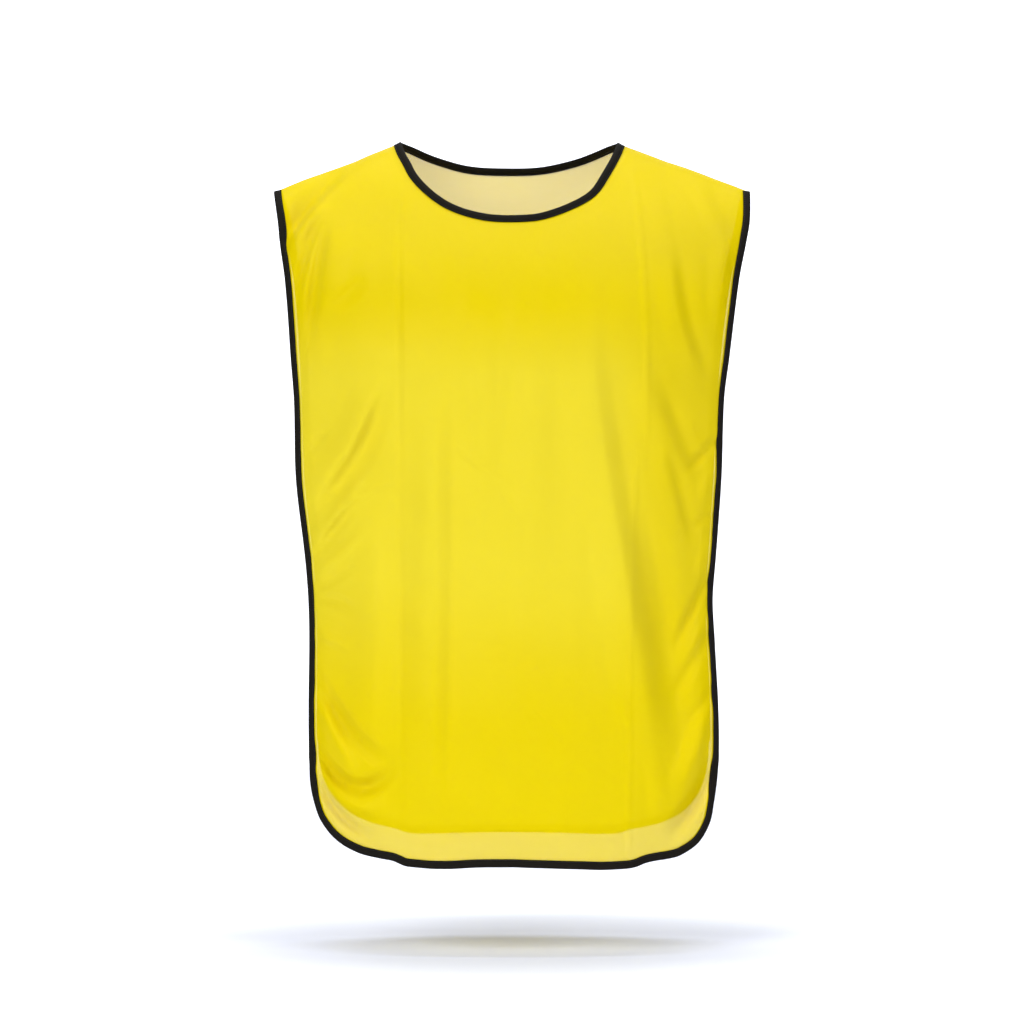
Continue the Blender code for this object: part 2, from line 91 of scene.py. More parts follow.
# Width and depth of the worn panel at each height
Section = namedtuple("Section", "height left right middle_depth edge_depth")
FRONT_SECTIONS = [Section(*row) for row in (
    (-0.024, 0.2321, 0.2321, 0.1080, 0.0440),
    (-0.054, 0.2270, 0.2303, 0.1100, 0.0450),
    (-0.074, 0.2247, 0.2266, 0.1120, 0.0460),
    (-0.113, 0.2189, 0.2189, 0.1170, 0.0470),
    (-0.190, 0.2131, 0.2092, 0.1240, 0.0470),
    (-0.229, 0.2102, 0.2044, 0.1220, 0.0460),
    (-0.307, 0.2082, 0.2019, 0.1170, 0.0430),
    (-0.384, 0.1995, 0.1966, 0.1130, 0.0390),
    (-0.423, 0.1966, 0.1937, 0.1120, 0.0385),
    (-0.462, 0.1956, 0.1956, 0.1125, 0.0400),
    (-0.539, 0.1960, 0.1992, 0.1160, 0.0460),
    (-0.600, 0.1950, 0.1990, 0.1190, 0.0520),
    (-0.690, 0.1950, 0.1990, 0.1210, 0.0580),
)]

# A fold's line runs through three points (x, z), downwards. Its sides fall away over the two widths, left
# and right of the line in the front view. It is round, or a pressed crease as far as sharp nears 1.
Fold = namedtuple("Fold", "start middle end left_width right_width height sharp", defaults=[0.0])
FRONT_FOLDS = [Fold(*row) for row in (
    # Main drape under the chest
    ((-0.0750, -0.170), (-0.0760, -0.400), (-0.0830, -0.680), 0.030, 0.021, 0.0074),
    ((-0.0560, -0.190), (-0.0560, -0.400), (-0.0540, -0.690), 0.016, 0.026, -0.0018),
    ((-0.1290, -0.300), (-0.1330, -0.480), (-0.1420, -0.640), 0.036, 0.022, 0.0062, 0.1),
    ((-0.0300, -0.170), (-0.0270, -0.245), (-0.0240, -0.340), 0.016, 0.016, 0.0020),
    ((0.0070, -0.165), (-0.0020, -0.235), (-0.0100, -0.310), 0.011, 0.013, -0.0016),
    ((0.0250, -0.160), (0.0190, -0.307), (0.0110, -0.480), 0.020, 0.022, 0.0018),
    ((0.0480, -0.180), (0.0460, -0.300), (0.0430, -0.430), 0.016, 0.018, -0.0014),
    ((0.0680, -0.150), (0.0950, -0.330), (0.1450, -0.590), 0.036, 0.021, 0.0052),
    ((0.0890, -0.170), (0.1150, -0.340), (0.1640, -0.600), 0.018, 0.030, -0.0042),
    ((0.0980, -0.300), (0.1190, -0.450), (0.1450, -0.620), 0.036, 0.030, 0.0072),
    ((0.1190, -0.310), (0.1440, -0.460), (0.1700, -0.630), 0.028, 0.030, -0.0066),
    ((0.1200, -0.196), (0.1420, -0.252), (0.1620, -0.304), 0.022, 0.017, 0.0044),
    ((0.1420, -0.214), (0.1630, -0.262), (0.1840, -0.312), 0.012, 0.014, -0.0036, 0.1),
    ((0.1400, -0.270), (0.1520, -0.318), (0.1640, -0.372), 0.016, 0.010, 0.0032, 0.1),
    ((0.1530, -0.282), (0.1660, -0.330), (0.1770, -0.376), 0.008, 0.013, -0.0028, 0.1),
    # Chest line
    ((-0.150, -0.190), (-0.020, -0.176), (0.120, -0.186), 0.026, 0.040, 0.0026),
    ((-0.170, -0.162), (-0.122, -0.198), (-0.054, -0.202), 0.022, 0.022, 0.0013),
    # Left shoulder and armhole
    ((-0.140, 0.020), (-0.197, -0.037), (-0.236, -0.098), 0.024, 0.012, -0.0260, 0.2),
    ((-0.176, -0.030), (-0.200, -0.060), (-0.224, -0.090), 0.009, 0.011, 0.0070, 0.2),
    ((-0.184, -0.040), (-0.198, -0.086), (-0.212, -0.138), 0.008, 0.007, -0.0064, 0.2),
    ((-0.178, -0.052), (-0.190, -0.110), (-0.199, -0.196), 0.008, 0.010, -0.0062, 0.1),
    ((-0.168, -0.056), (-0.175, -0.110), (-0.186, -0.176), 0.012, 0.022, 0.0032),
    ((-0.136, -0.106), (-0.158, -0.127), (-0.184, -0.146), 0.009, 0.013, -0.0028, 0.2),
    ((-0.184, -0.146), (-0.184, -0.190), (-0.187, -0.236), 0.018, 0.015, 0.0022),
    # Right shoulder and armhole
    ((0.172, -0.002), (0.190, -0.040), (0.206, -0.078), 0.014, 0.013, 0.0034, 0.2),
    ((0.150, -0.066), (0.160, -0.150), (0.187, -0.216), 0.022, 0.012, 0.0044, 0.2),
    ((0.160, -0.070), (0.170, -0.152), (0.196, -0.214), 0.010, 0.016, -0.0030, 0.1),
    ((0.203, -0.066), (0.204, -0.115), (0.200, -0.172), 0.018, 0.010, 0.0036, 0.1),
    ((0.138, -0.018), (0.145, -0.060), (0.150, -0.100), 0.014, 0.013, 0.0022),
    # Left drag folds towards the side elastic
    ((-0.124, -0.196), (-0.154, -0.268), (-0.202, -0.326), 0.024, 0.012, 0.0080, 0.1),
    ((-0.122, -0.214), (-0.148, -0.286), (-0.200, -0.350), 0.012, 0.018, -0.0064, 0.1),
    ((-0.174, -0.252), (-0.188, -0.269), (-0.208, -0.292), 0.006, 0.007, -0.0034, 0.4),
    ((-0.142, -0.296), (-0.165, -0.334), (-0.204, -0.380), 0.014, 0.010, 0.0048, 0.2),
    ((-0.152, -0.322), (-0.172, -0.355), (-0.204, -0.392), 0.008, 0.010, -0.0042, 0.3),
    ((-0.098, -0.308), (-0.146, -0.322), (-0.194, -0.372), 0.006, 0.007, 0.0018, 0.5),
    ((-0.138, -0.350), (-0.165, -0.380), (-0.204, -0.406), 0.011, 0.008, 0.0036, 0.2),
    ((-0.148, -0.384), (-0.172, -0.402), (-0.202, -0.416), 0.007, 0.008, -0.0032, 0.3),
    # Lower left
    ((-0.146, -0.434), (-0.172, -0.424), (-0.202, -0.422), 0.008, 0.009, -0.0040, 0.3),
    ((-0.152, -0.472), (-0.176, -0.460), (-0.201, -0.456), 0.009, 0.008, 0.0040, 0.2),
    ((-0.198, -0.480), (-0.158, -0.545), (-0.112, -0.580), 0.013, 0.012, -0.0080, 0.1),
    ((-0.196, -0.496), (-0.171, -0.552), (-0.146, -0.598), 0.012, 0.010, 0.0054, 0.1),
    ((-0.208, -0.536), (-0.156, -0.601), (-0.108, -0.573), 0.011, 0.012, -0.0134, 0.2),
    ((-0.196, -0.566), (-0.160, -0.617), (-0.118, -0.612), 0.010, 0.010, 0.0040, 0.1),
    ((-0.198, -0.572), (-0.168, -0.626), (-0.130, -0.648), 0.008, 0.008, -0.0090, 0.3),
    # Lower right
    ((0.214, -0.536), (0.183, -0.606), (0.144, -0.658), 0.014, 0.011, -0.0130, 0.2),
    ((0.200, -0.496), (0.180, -0.560), (0.150, -0.620), 0.018, 0.011, 0.0066, 0.1),
    ((0.200, -0.436), (0.176, -0.480), (0.150, -0.524), 0.009, 0.011, -0.0046, 0.3),
    ((0.130, -0.560), (0.140, -0.600), (0.138, -0.640), 0.014, 0.012, 0.0026),
    # Short wrinkles that the binding gathers along the right edge
    ((0.216, -0.252), (0.190, -0.276), (0.164, -0.300), 0.007, 0.008, -0.0066, 0.4),
    ((0.210, -0.284), (0.194, -0.304), (0.182, -0.334), 0.011, 0.010, 0.0038, 0.1),
    ((0.214, -0.332), (0.190, -0.342), (0.172, -0.350), 0.006, 0.007, -0.0038, 0.3),
    ((0.208, -0.350), (0.190, -0.374), (0.180, -0.404), 0.009, 0.009, 0.0030, 0.1),
    ((0.204, -0.378), (0.176, -0.428), (0.154, -0.478), 0.008, 0.008, -0.0074, 0.4),
    ((0.202, -0.414), (0.185, -0.450), (0.168, -0.484), 0.009, 0.009, 0.0040, 0.1),
    ((0.208, -0.480), (0.190, -0.516), (0.166, -0.548), 0.008, 0.010, -0.0048, 0.3),
    # Fine wrinkles over the belly
    ((-0.062, -0.270), (-0.030, -0.294), (0.006, -0.314), 0.005, 0.006, 0.0010, 0.4),
    ((-0.014, -0.316), (-0.002, -0.330), (0.009, -0.348), 0.005, 0.005, 0.0009, 0.4),
    ((-0.054, -0.458), (-0.020, -0.464), (0.020, -0.462), 0.005, 0.006, -0.0009, 0.5),
    ((-0.050, -0.478), (0.000, -0.482), (0.056, -0.494), 0.005, 0.006, -0.0011, 0.5),
    ((0.048, -0.494), (0.074, -0.510), (0.102, -0.522), 0.005, 0.006, -0.0011, 0.5),
    ((0.010, -0.516), (0.032, -0.536), (0.056, -0.562), 0.005, 0.006, 0.0010, 0.5),
    # Pressed creases from the packing
    ((-0.109, 0.040), (-0.107, -0.250), (-0.105, -0.760), 0.006, 0.005, -0.0020, 1.0),
    ((0.110, 0.060), (0.128, -0.150), (0.124, -0.330), 0.005, 0.005, 0.0020, 1.0),
    ((0.126, -0.220), (0.113, -0.450), (0.113, -0.800), 0.005, 0.005, 0.0021, 1.0),
)]

# The cut edges below the shoulder seams (x, z). The neck runs from left to right, and each side of the hem
# from the side edge to the middle; HEM_CORNER_POINT counts to the middle of its corner.
FRONT_NECK = [
    (-0.106, 0.0130), (-0.100, 0.0015), (-0.093, -0.0120), (-0.080, -0.0270), (-0.064, -0.0395),
    (-0.048, -0.0472), (-0.031, -0.0520), (-0.013, -0.0545), (0.009, -0.0545), (0.025, -0.0530),
    (0.041, -0.0482), (0.057, -0.0415), (0.071, -0.0335), (0.079, -0.0260), (0.088, -0.0112),
    (0.095, 0.0015), (0.100, 0.0118),
]
FRONT_HEM_LEFT = [
    (-0.195, -0.5790), (-0.194, -0.5990), (-0.190, -0.6180), (-0.183, -0.6355), (-0.168, -0.6525),
    (-0.147, -0.6635), (-0.127, -0.6678), (-0.1145, -0.6697), (-0.108, -0.6720), (-0.102, -0.6745),
    (-0.088, -0.6758), (-0.075, -0.6765), (-0.059, -0.6763), (-0.031, -0.6748), (0.0, -0.6745),
]
FRONT_HEM_RIGHT = [
    (0.199, -0.5790), (0.197, -0.5990), (0.194, -0.6185), (0.190, -0.6370), (0.179, -0.6550),
    (0.162, -0.6660), (0.151, -0.6688), (0.137, -0.6705), (0.127, -0.6725), (0.119, -0.6755),
    (0.112, -0.6768), (0.103, -0.6773), (0.084, -0.6776), (0.065, -0.6767), (0.0, -0.6745),
]
HEM_CORNER_POINT = 4

# How far below the shoulder seams a panel has turned down to its full depth: in the middle, at the sides
TURN_REACH = (0.200, 0.120)

Cut = namedtuple("Cut", "facing sections folds neck hem_left hem_right roundness turn_powers")
FRONT = Cut(
    -1, FRONT_SECTIONS, FRONT_FOLDS, FRONT_NECK, FRONT_HEM_LEFT, FRONT_HEM_RIGHT,
    roundness=2.4, turn_powers=(2.4, 0.70),
)


def smooth_step(t, start, leave, end, arrive):
    """Between start and end at t from 0 to 1, leaving and arriving with the given slopes."""
    return (
        (2 * t**3 - 3 * t**2 + 1) * start
        + (t**3 - 2 * t**2 + t) * leave
        + (3 * t**2 - 2 * t**3) * end
        + (t**3 - t**2) * arrive
    )


def read_smoothly(places, values, at):
    """Values at the given places of a table, on a curve that passes smoothly through its rows."""
    places, values = np.asarray(places), np.asarray(values)
    at = np.clip(at, places[0], places[-1])
    index = np.clip(np.searchsorted(places, at, side="right") - 1, 0, len(places) - 2)
    before = np.maximum(index - 1, 0)
    after = np.minimum(index + 2, len(places) - 1)
    span = places[index + 1] - places[index]
    t = ((at - places[index]) / span)[..., None]
    start, end = values[index], values[index + 1]
    rise_in = (end - values[before]) * (span / (places[index + 1] - places[before]))[..., None]
    rise_out = (values[after] - start) * (span / (places[after] - places[index]))[..., None]
    return smooth_step(t, start, rise_in, end, rise_out)


def section_at(sections, heights):
    """Left and right half width, middle and edge depth at each height."""
    rows = np.array(sections)[::-1]
    return np.moveaxis(read_smoothly(rows[:, 0], rows[:, 1:], heights), -1, 0)


def seam_height(x):
    """Height of the shoulder seam at x, carried on over the neck as a low arch."""
    places, heights = np.array(SHOULDER_SEAMS).T
    left, right = NECK_ENDS
    inside = np.clip(np.minimum(x - left, right - x), 0.0, None)
    return np.interp(x, places, heights) + NECK_ARCH_SLOPE * inside * (1 - inside / (right - left))


def fold_offset(fold, x, z):
    """How far one fold moves the cloth: full along its line, fading to its two sides and its ends."""
    start, middle, end = (np.array(place) for place in (fold.start, fold.middle, fold.end))
    control = 2 * middle - (start + end) / 2
    nearest = np.full(np.shape(x), max(fold.left_width, fold.right_width))
    along = np.zeros_like(nearest)
    left = np.zeros_like(nearest, dtype=bool)
    before = start
    for step in range(1, FOLD_STEPS + 1):
        t = step / FOLD_STEPS
        after = (1 - t) ** 2 * start + 2 * t * (1 - t) * control + t * t * end
        run = after - before
        away_x, away_z = x - before[0], z - before[1]
        reach = np.clip((away_x * run[0] + away_z * run[1]) / run.dot(run), 0.0, 1.0)
        distance = np.hypot(away_x - reach * run[0], away_z - reach * run[1])
        closer = distance < nearest
        nearest = np.where(closer, distance, nearest)
        along = np.where(closer, (step - 1 + reach) / FOLD_STEPS, along)
        left = np.where(closer, run[0] * away_z - run[1] * away_x < 0, left)
        before = after
    across = np.clip(nearest / np.where(left, fold.left_width, fold.right_width), 0.0, 1.0)
    shape = (1 - fold.sharp) * (1 - across**2) ** 2 + fold.sharp * (1 - across) ** 2
    fade = np.clip(np.minimum(along, 1 - along) / FOLD_FADE, 0.0, 1.0)
    return fold.height * shape * fade**2 * (3 - 2 * fade)


UNEVEN_SEED = 7
UNEVEN_WAVES = 14
UNEVEN_LENGTHS = (0.024, 0.110)
UNEVEN_HEIGHT = 0.00014

# The binding holds the folds flatter at the side edges: to this share, over this width.
EDGE_FREE = 0.25
EDGE_HELD = 0.022


def unevenness(facing, x, z):
    """Slight waves in every direction, as no hanging cloth is quite smooth."""
    chance = np.random.default_rng(UNEVEN_SEED + facing)
    total = np.zeros(np.shape(x))
    for _ in range(UNEVEN_WAVES):
        length = chance.uniform(*UNEVEN_LENGTHS)
        turn = chance.uniform(0, math.pi)
        phase = chance.uniform(0, 2 * math.pi)
        wave = np.sin(2 * math.pi * (x * math.cos(turn) + z * math.sin(turn)) / length + phase)
        total += UNEVEN_HEIGHT * (length / UNEVEN_LENGTHS[0]) ** 0.5 * wave
    return total


def on_cloth(cut, x, z, with_folds=True):
    """Points in the middle of the worn panel's wall, at the places (x, z) of the front view."""
    left, right, middle_depth, edge_depth = section_at(cut.sections, z)
    across = np.minimum(np.abs(x) / np.where(x < 0, left, right), 1.0)
    full = edge_depth + (middle_depth - edge_depth) * (1 - across**cut.roundness)
    reach = TURN_REACH[0] + (TURN_REACH[1] - TURN_REACH[0]) * across**2
    below_seam = np.clip((seam_height(x) - z) / reach, 0.0, 1.0)
    steep, round_over = cut.turn_powers
    turned = (1 - (1 - below_seam) ** steep) ** round_over
    if with_folds:
        inside = np.clip((1 - across) * left / EDGE_HELD, 0.0, 1.0)
        free = EDGE_FREE + (1 - EDGE_FREE) * inside**2 * (3 - 2 * inside)
        full = full + unevenness(cut.facing, x, z)
        for fold in cut.folds:
            full = full + fold_offset(fold, x, z) * free
    return np.stack([x, cut.facing * full * turned, z], axis=-1)


def lengths_along(line):
    """How far along a line each of its points lies."""
    return np.concatenate([[0.0], np.cumsum(np.linalg.norm(np.diff(line, axis=0), axis=1))])


def spread_along(path, fractions):
    """Places on a line at the given fractions of its length."""
    lengths = lengths_along(path)
    at = np.asarray(fractions) * lengths[-1]
    return np.stack([np.interp(at, lengths, path[:, axis]) for axis in range(path.shape[1])], axis=1)


def smooth_line(points, steps=CURVE_STEPS):
    """A closely stepped curve through points."""
    points = np.asarray(points)
    lengths = lengths_along(points)
    return read_smoothly(lengths, points, np.linspace(0, lengths[-1], steps + 1))


def half_outline(cut, side):
    """Side edge and half the hem in the front view, split at the middle of the hem corner."""
    hem = cut.hem_left if side < 0 else cut.hem_right
    heights = np.linspace(SHOULDER_SEAMS[0][1], hem[0][1], CURVE_STEPS, endpoint=False)
    edge = np.stack([side * section_at(cut.sections, heights)[0 if side < 0 else 1], heights], axis=1)
    hem_line = smooth_line(hem)
    corner = np.linalg.norm(hem_line - hem[HEM_CORNER_POINT], axis=1).argmin()
    return np.concatenate([edge, hem_line[: corner + 1]]), hem_line[corner:]


def neck_line(cut):
    """The neck edge from the left shoulder seam to the right one."""
    left, right = ((x, float(seam_height(np.array(x)))) for x in NECK_ENDS)
    return smooth_line([left, *cut.neck, right])


def panel_grid(cut):
    """Front-view places of the panel's points in rows and columns, filled in between its four edges."""
    left, left_hem = half_outline(cut, -1)
    right, right_hem = half_outline(cut, 1)
    hem = np.concatenate([left_hem, right_hem[-2::-1]])
    down = np.linspace(0, 1, ROWS + 1) ** ROWS_CLOSER_ABOVE
    left, right = spread_along(left, down), spread_along(right, down)
    neck = spread_along(neck_line(cut), np.linspace(0, 1, NECK_CELLS + 1))
    share = np.linspace(0, 1, SHOULDER_CELLS, endpoint=False)[:, None]
    left_seam = left[0] + (neck[0] - left[0]) * share
    right_seam = right[0] + (neck[-1] - right[0]) * share
    for seam in (left_seam, right_seam):
        seam[:, 1] = seam_height(seam[:, 0])
    top = np.concatenate([left_seam, neck, right_seam[::-1]])
    across = (top[:, 0] - top[0, 0]) / (top[-1, 0] - top[0, 0])
    bottom = spread_along(hem, across)
    u, v = across[None, :, None], down[:, None, None]
    between = (1 - v) * top[None] + v * bottom[None] + (1 - u) * left[:, None] + u * right[:, None]
    corners = (1 - v) * ((1 - u) * top[0] + u * top[-1]) + v * ((1 - u) * bottom[0] + u * bottom[-1])
    return between - corners


def cut_places(cut, grid):
    """Where each point lies on the flat cut: lengths over the cloth, across and down from its middle."""
    x, z = grid[..., 0], grid[..., 1]
    across, down = np.zeros_like(x), np.zeros_like(z)
    before_across = on_cloth(cut, x * 0, z, with_folds=False)
    before_down = on_cloth(cut, x, x * 0 + CUT_MIDDLE, with_folds=False)
    for step in range(1, CUT_STEPS + 1):
        share = step / CUT_STEPS
        after_across = on_cloth(cut, x * share, z, with_folds=False)
        across += np.linalg.norm(after_across - before_across, axis=-1)
        before_across = after_across
        after_down = on_cloth(cut, x, CUT_MIDDLE + (z - CUT_MIDDLE) * share, with_folds=False)
        down += np.linalg.norm(after_down - before_down, axis=-1)
        before_down = after_down
    middle_x, middle_y = CUT_ORIGIN
    return np.stack([middle_x + across * np.sign(x), middle_y + down * np.sign(z - CUT_MIDDLE)], axis=-1)


def link_piece(name, mesh, materials):
    for used in materials:
        mesh.materials.append(used)
    mesh.shade_smooth()
    return place_object(name, mesh)


def map_points(mesh, name, flat):
    """Maps a mesh by the flat place of each of its points."""
    points = np.empty(len(mesh.loops), dtype=np.int32)
    mesh.loops.foreach_get("vertex_index", points)
    mesh.uv_layers.new(name=name).uv.foreach_set("vector", flat[points].astype(np.float32).ravel())


def give_wall(piece, thickness, offset):
    """Gives a piece's one layer its thickness."""
    wall = piece.modifiers.new("wall", "SOLIDIFY")
    wall.thickness = thickness
    wall.offset = offset
    return wall


def make_panel(name, cut, materials):
    """The panel as a thin wall round the middle of the worn cloth, mapped with its flat cut."""
    grid = panel_grid(cut)
    points = on_cloth(cut, grid[..., 0], grid[..., 1])
    rows, columns = grid.shape[:2]
    numbers = np.arange(rows * columns).reshape(rows, columns)
    corners = [numbers[:-1, :-1], numbers[1:, :-1], numbers[1:, 1:], numbers[:-1, 1:]]
    if cut.facing > 0:
        corners.reverse()
    faces = np.stack(corners, axis=-1).reshape(-1, 4)
    mesh = bpy.data.meshes.new(name)
    mesh.from_pydata(points.reshape(-1, 3).tolist(), [], faces.tolist())
    map_points(mesh, "cut", cut_places(cut, grid).reshape(-1, 2))
    piece = link_piece(name, mesh, materials)
    wall = give_wall(piece, CLOTH_WALL, 0.0)
    wall.material_offset = 1
    wall.material_offset_rim = 0
    return piece


class Value:
    """A number that varies, carried by a node's socket, with Python's operators."""

    def __init__(self, tree, socket):
        self.tree = tree
        self.socket = socket

    def math(self, operation, *others):
        node = self.tree.nodes.new("ShaderNodeMath")
        node.operation = operation
        for place, value in zip(node.inputs, (self, *others)):
            if isinstance(value, Value):
                self.tree.links.new(value.socket, place)
            else:
                place.default_value = value
        return Value(self.tree, node.outputs[0])

    def __add__(self, other):
        return self.math("ADD", other)

    def __sub__(self, other):
        return self.math("SUBTRACT", other)

    def __rsub__(self, other):
        return self * -1.0 + other

    def __mul__(self, other):
        return self.math("MULTIPLY", other)

    __radd__ = __add__
    __rmul__ = __mul__

    def cosine(self):
        return self.math("COSINE")

    def between(self, low, high):
        """0 below low, 1 above high, smooth between them."""
        return recipe_of[self.tree].add(
            "ShaderNodeMapRange",
            {"interpolation_type": "SMOOTHSTEP"},
            {"Value": self, "From Min": low, "From Max": high},
        )


recipe_of = {}


class Recipe:
    """Builds one node tree: a material's or a shape's."""

    def __init__(self, tree):
        self.tree = tree
        recipe_of[tree] = self

    def add(self, kind, settings=None, sockets=None, output=0):
        """Adds a node, sets it, fills its sockets with values or links, and gives back one output."""
        node = self.tree.nodes.new(kind)
        for name, setting in (settings or {}).items():
            setattr(node, name, setting)
        for name, value in (sockets or {}).items():
            if isinstance(value, Value):
                self.tree.links.new(value.socket, node.inputs[name])
            else:
                node.inputs[name].default_value = value
        return Value(self.tree, node.outputs[output]) if output is not None else node

    def blend(self, share, first, second):
        """A colour between two colours."""
        settings = {"data_type": "RGBA", "clamp_factor": True}
        return self.add("ShaderNodeMix", settings, {0: share, 6: first, 7: second}, output=2)

    def noise(self, place, scale, detail=2.0):
        return self.add("ShaderNodeTexNoise", None, {"Vector": place, "Scale": scale, "Detail": detail})

    def first_two(self, place):
        """The first two numbers of a place."""
        parts = self.add("ShaderNodeSeparateXYZ", None, {0: place}, output=None)
        return (Value(self.tree, parts.outputs[axis]) for axis in (0, 1))

    def bump(self, height, strength, distance):
        sockets = {"Height": height, "Strength": strength, "Distance": distance}
        return self.add("ShaderNodeBump", None, sockets)

    def shaded(self, colour, roughness, sheen, **more):
        """A plain opaque surface."""
        sockets = {"Base Color": colour, "Roughness": roughness, "Specular IOR Level": sheen, **more}
        return self.add("ShaderNodeBsdfPrincipled", None, sockets)

    def finish(self, surface):
        self.add("ShaderNodeOutputMaterial", None, {"Surface": surface}, output=None)


def new_material(name):
    made = bpy.data.materials.new(name)
    made.use_nodes = True
    made.node_tree.nodes.clear()
    return made, Recipe(made.node_tree)


HOLE_ACROSS = 0.0017
HOLE_DOWN = 0.0016
HOLE_RIM = 0.10
HOLE_EDGE = 0.60
HOLE_OPEN = 0.14
YARN_OPEN = 0.15
GLOW_SHARE = 0.12
YARN_SHEEN = 0.025
RIB_HEIGHT = 0.0003
ROW_WAVER = 0.0008
WAVER_SCALE = 60.0
MOTTLE_SCALE = 9.0
LOOP_SCALE = 900.0
MOTTLE = 0.3
# How deep the colour is where there is no painted light, and how much the painted light takes away from that
DEEP_SHARE = 1.25
PAINTED_LIGHT_WEIGHT = 1.12
# Where across the flat cut the painted sheen is taken down on the shaded right side, and by how much
PAINTED_SHEEN_LESS_RIGHT = (0.58, 0.66)
PAINTED_SHEEN_LESS_BY = 0.65


def knit_material(name, painted_light, deep, painted_light_from, painted_light_to=None, inside_open=None):
    """Warp-knit mesh: staggered small holes between yarn loops, or their even average on the wrong side.

    The first colour is painted light, the second the cloth's own deep colour. The two ranges are heights on
    the flat cut, over which the painted light comes in and then goes again; with the second range it is also
    weaker towards the right side.
    inside_open is how much of the wrong side is open where it is deep, and where the painted light is.
    """
    made, recipe = new_material(name)
    place = recipe.add("ShaderNodeUVMap", {"uv_map": "cut"})
    across, down = recipe.first_two(place)
    waver = recipe.noise(place, WAVER_SCALE) * ROW_WAVER
    loops = (
        ((across + waver) * (2 * math.pi / HOLE_ACROSS)).cosine()
        * ((down + waver) * (2 * math.pi / HOLE_DOWN)).cosine()
    )
    ribs = ((across * (4 * math.pi / HOLE_ACROSS)).cosine() * 0.25 - loops) * 0.5
    broad = recipe.noise(place, MOTTLE_SCALE, 3.0)
    fine = recipe.noise(place, LOOP_SCALE, 1.0)
    hole = loops.between(HOLE_RIM, HOLE_EDGE)
    # The share of painted light: by height on the flat cut, and with a second range also less on the shaded
    # right side
    painted_light_share = down.between(*painted_light_from)
    if painted_light_to:
        right_share = 1.0 - across.between(*PAINTED_SHEEN_LESS_RIGHT) * PAINTED_SHEEN_LESS_BY
        painted_light_share = painted_light_share * (1.0 - down.between(*painted_light_to)) * right_share
    mottle = (broad - 0.5) * MOTTLE + (fine - 0.5) * MOTTLE
    shade = DEEP_SHARE - painted_light_share * PAINTED_LIGHT_WEIGHT + mottle + (hole - 0.4) * 0.4
    base = recipe.blend(shade, painted_light, deep)
    bump = recipe.bump(ribs, 0.20, RIB_HEIGHT)
    yarn = recipe.shaded(base, 0.35 + fine * 0.08, YARN_SHEEN, Normal=bump)
    glow = recipe.add("ShaderNodeBsdfTranslucent", None, {"Color": base, "Normal": bump})
    yarn = recipe.add("ShaderNodeMixShader", None, {0: GLOW_SHARE, 1: yarn, 2: glow})
    gap = recipe.add("ShaderNodeBsdfTransparent")
    if inside_open:
        open_share = painted_light_share * (inside_open[1] - inside_open[0]) + inside_open[0]
    else:
        open_share = hole * HOLE_OPEN + YARN_OPEN
    surface = recipe.add("ShaderNodeMixShader", None, {0: open_share, 1: yarn, 2: gap})
    recipe.finish(surface)
    return made


# The face's own colour is the deep yellow. Its pale colour is a painted sheen across the belly, less of it
# on the shaded right side; the front's wrong side carries the same painted sheen.
FACE_PAINTED_SHEEN = (0.795, 0.668, 0.0300, 1.0)
FACE_DEEP = (0.757, 0.598, 0.0003, 1.0)
FRONT_INSIDE_PAINTED_SHEEN = (0.920, 0.810, 0.0120, 1.0)
FRONT_INSIDE_DEEP = (0.880, 0.750, 0.0060, 1.0)
FRONT_INSIDE_OPEN = (0.40, 0.40)
# Heights on the flat cut over which the painted sheen comes in and goes again
PAINTED_SHEEN_FROM = (0.22, 0.42)
PAINTED_SHEEN_TO = (0.57, 0.67)

knit_face = knit_material("mesh_knit_face", FACE_PAINTED_SHEEN, FACE_DEEP, PAINTED_SHEEN_FROM, PAINTED_SHEEN_TO)
knit_front_inside = knit_material(
    "mesh_knit_front_inside", FRONT_INSIDE_PAINTED_SHEEN, FRONT_INSIDE_DEEP, PAINTED_SHEEN_FROM, PAINTED_SHEEN_TO, FRONT_INSIDE_OPEN
)

front_cloth = make_panel("front_cloth", FRONT, [knit_face, knit_front_inside])
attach(front_cloth, "root")
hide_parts("front_panel")

# Back panel
# The same knit, with a shallow neck and a hem a little higher than the front's. It is joined to the front
# at the shoulder seams, and carries folds of the same kind in places of its own.
BACK_SECTIONS = [Section(*row) for row in (
    (-0.024, 0.2321, 0.2321, 0.0980, 0.0440),
    (-0.054, 0.2245, 0.2270, 0.1020, 0.0445),
    (-0.074, 0.2210, 0.2228, 0.1040, 0.0450),
    (-0.113, 0.2146, 0.2146, 0.1080, 0.0450),
    (-0.190, 0.2089, 0.2050, 0.1060, 0.0440),
    (-0.307, 0.2040, 0.1979, 0.0960, 0.0400),
    (-0.384, 0.1955, 0.1927, 0.0910, 0.0360),
    (-0.423, 0.1927, 0.1898, 0.0910, 0.0355),
    (-0.462, 0.1917, 0.1917, 0.0930, 0.0370),
    (-0.539, 0.1921, 0.1952, 0.0990, 0.0420),
    (-0.690, 0.1911, 0.1950, 0.1050, 0.0500),
)]
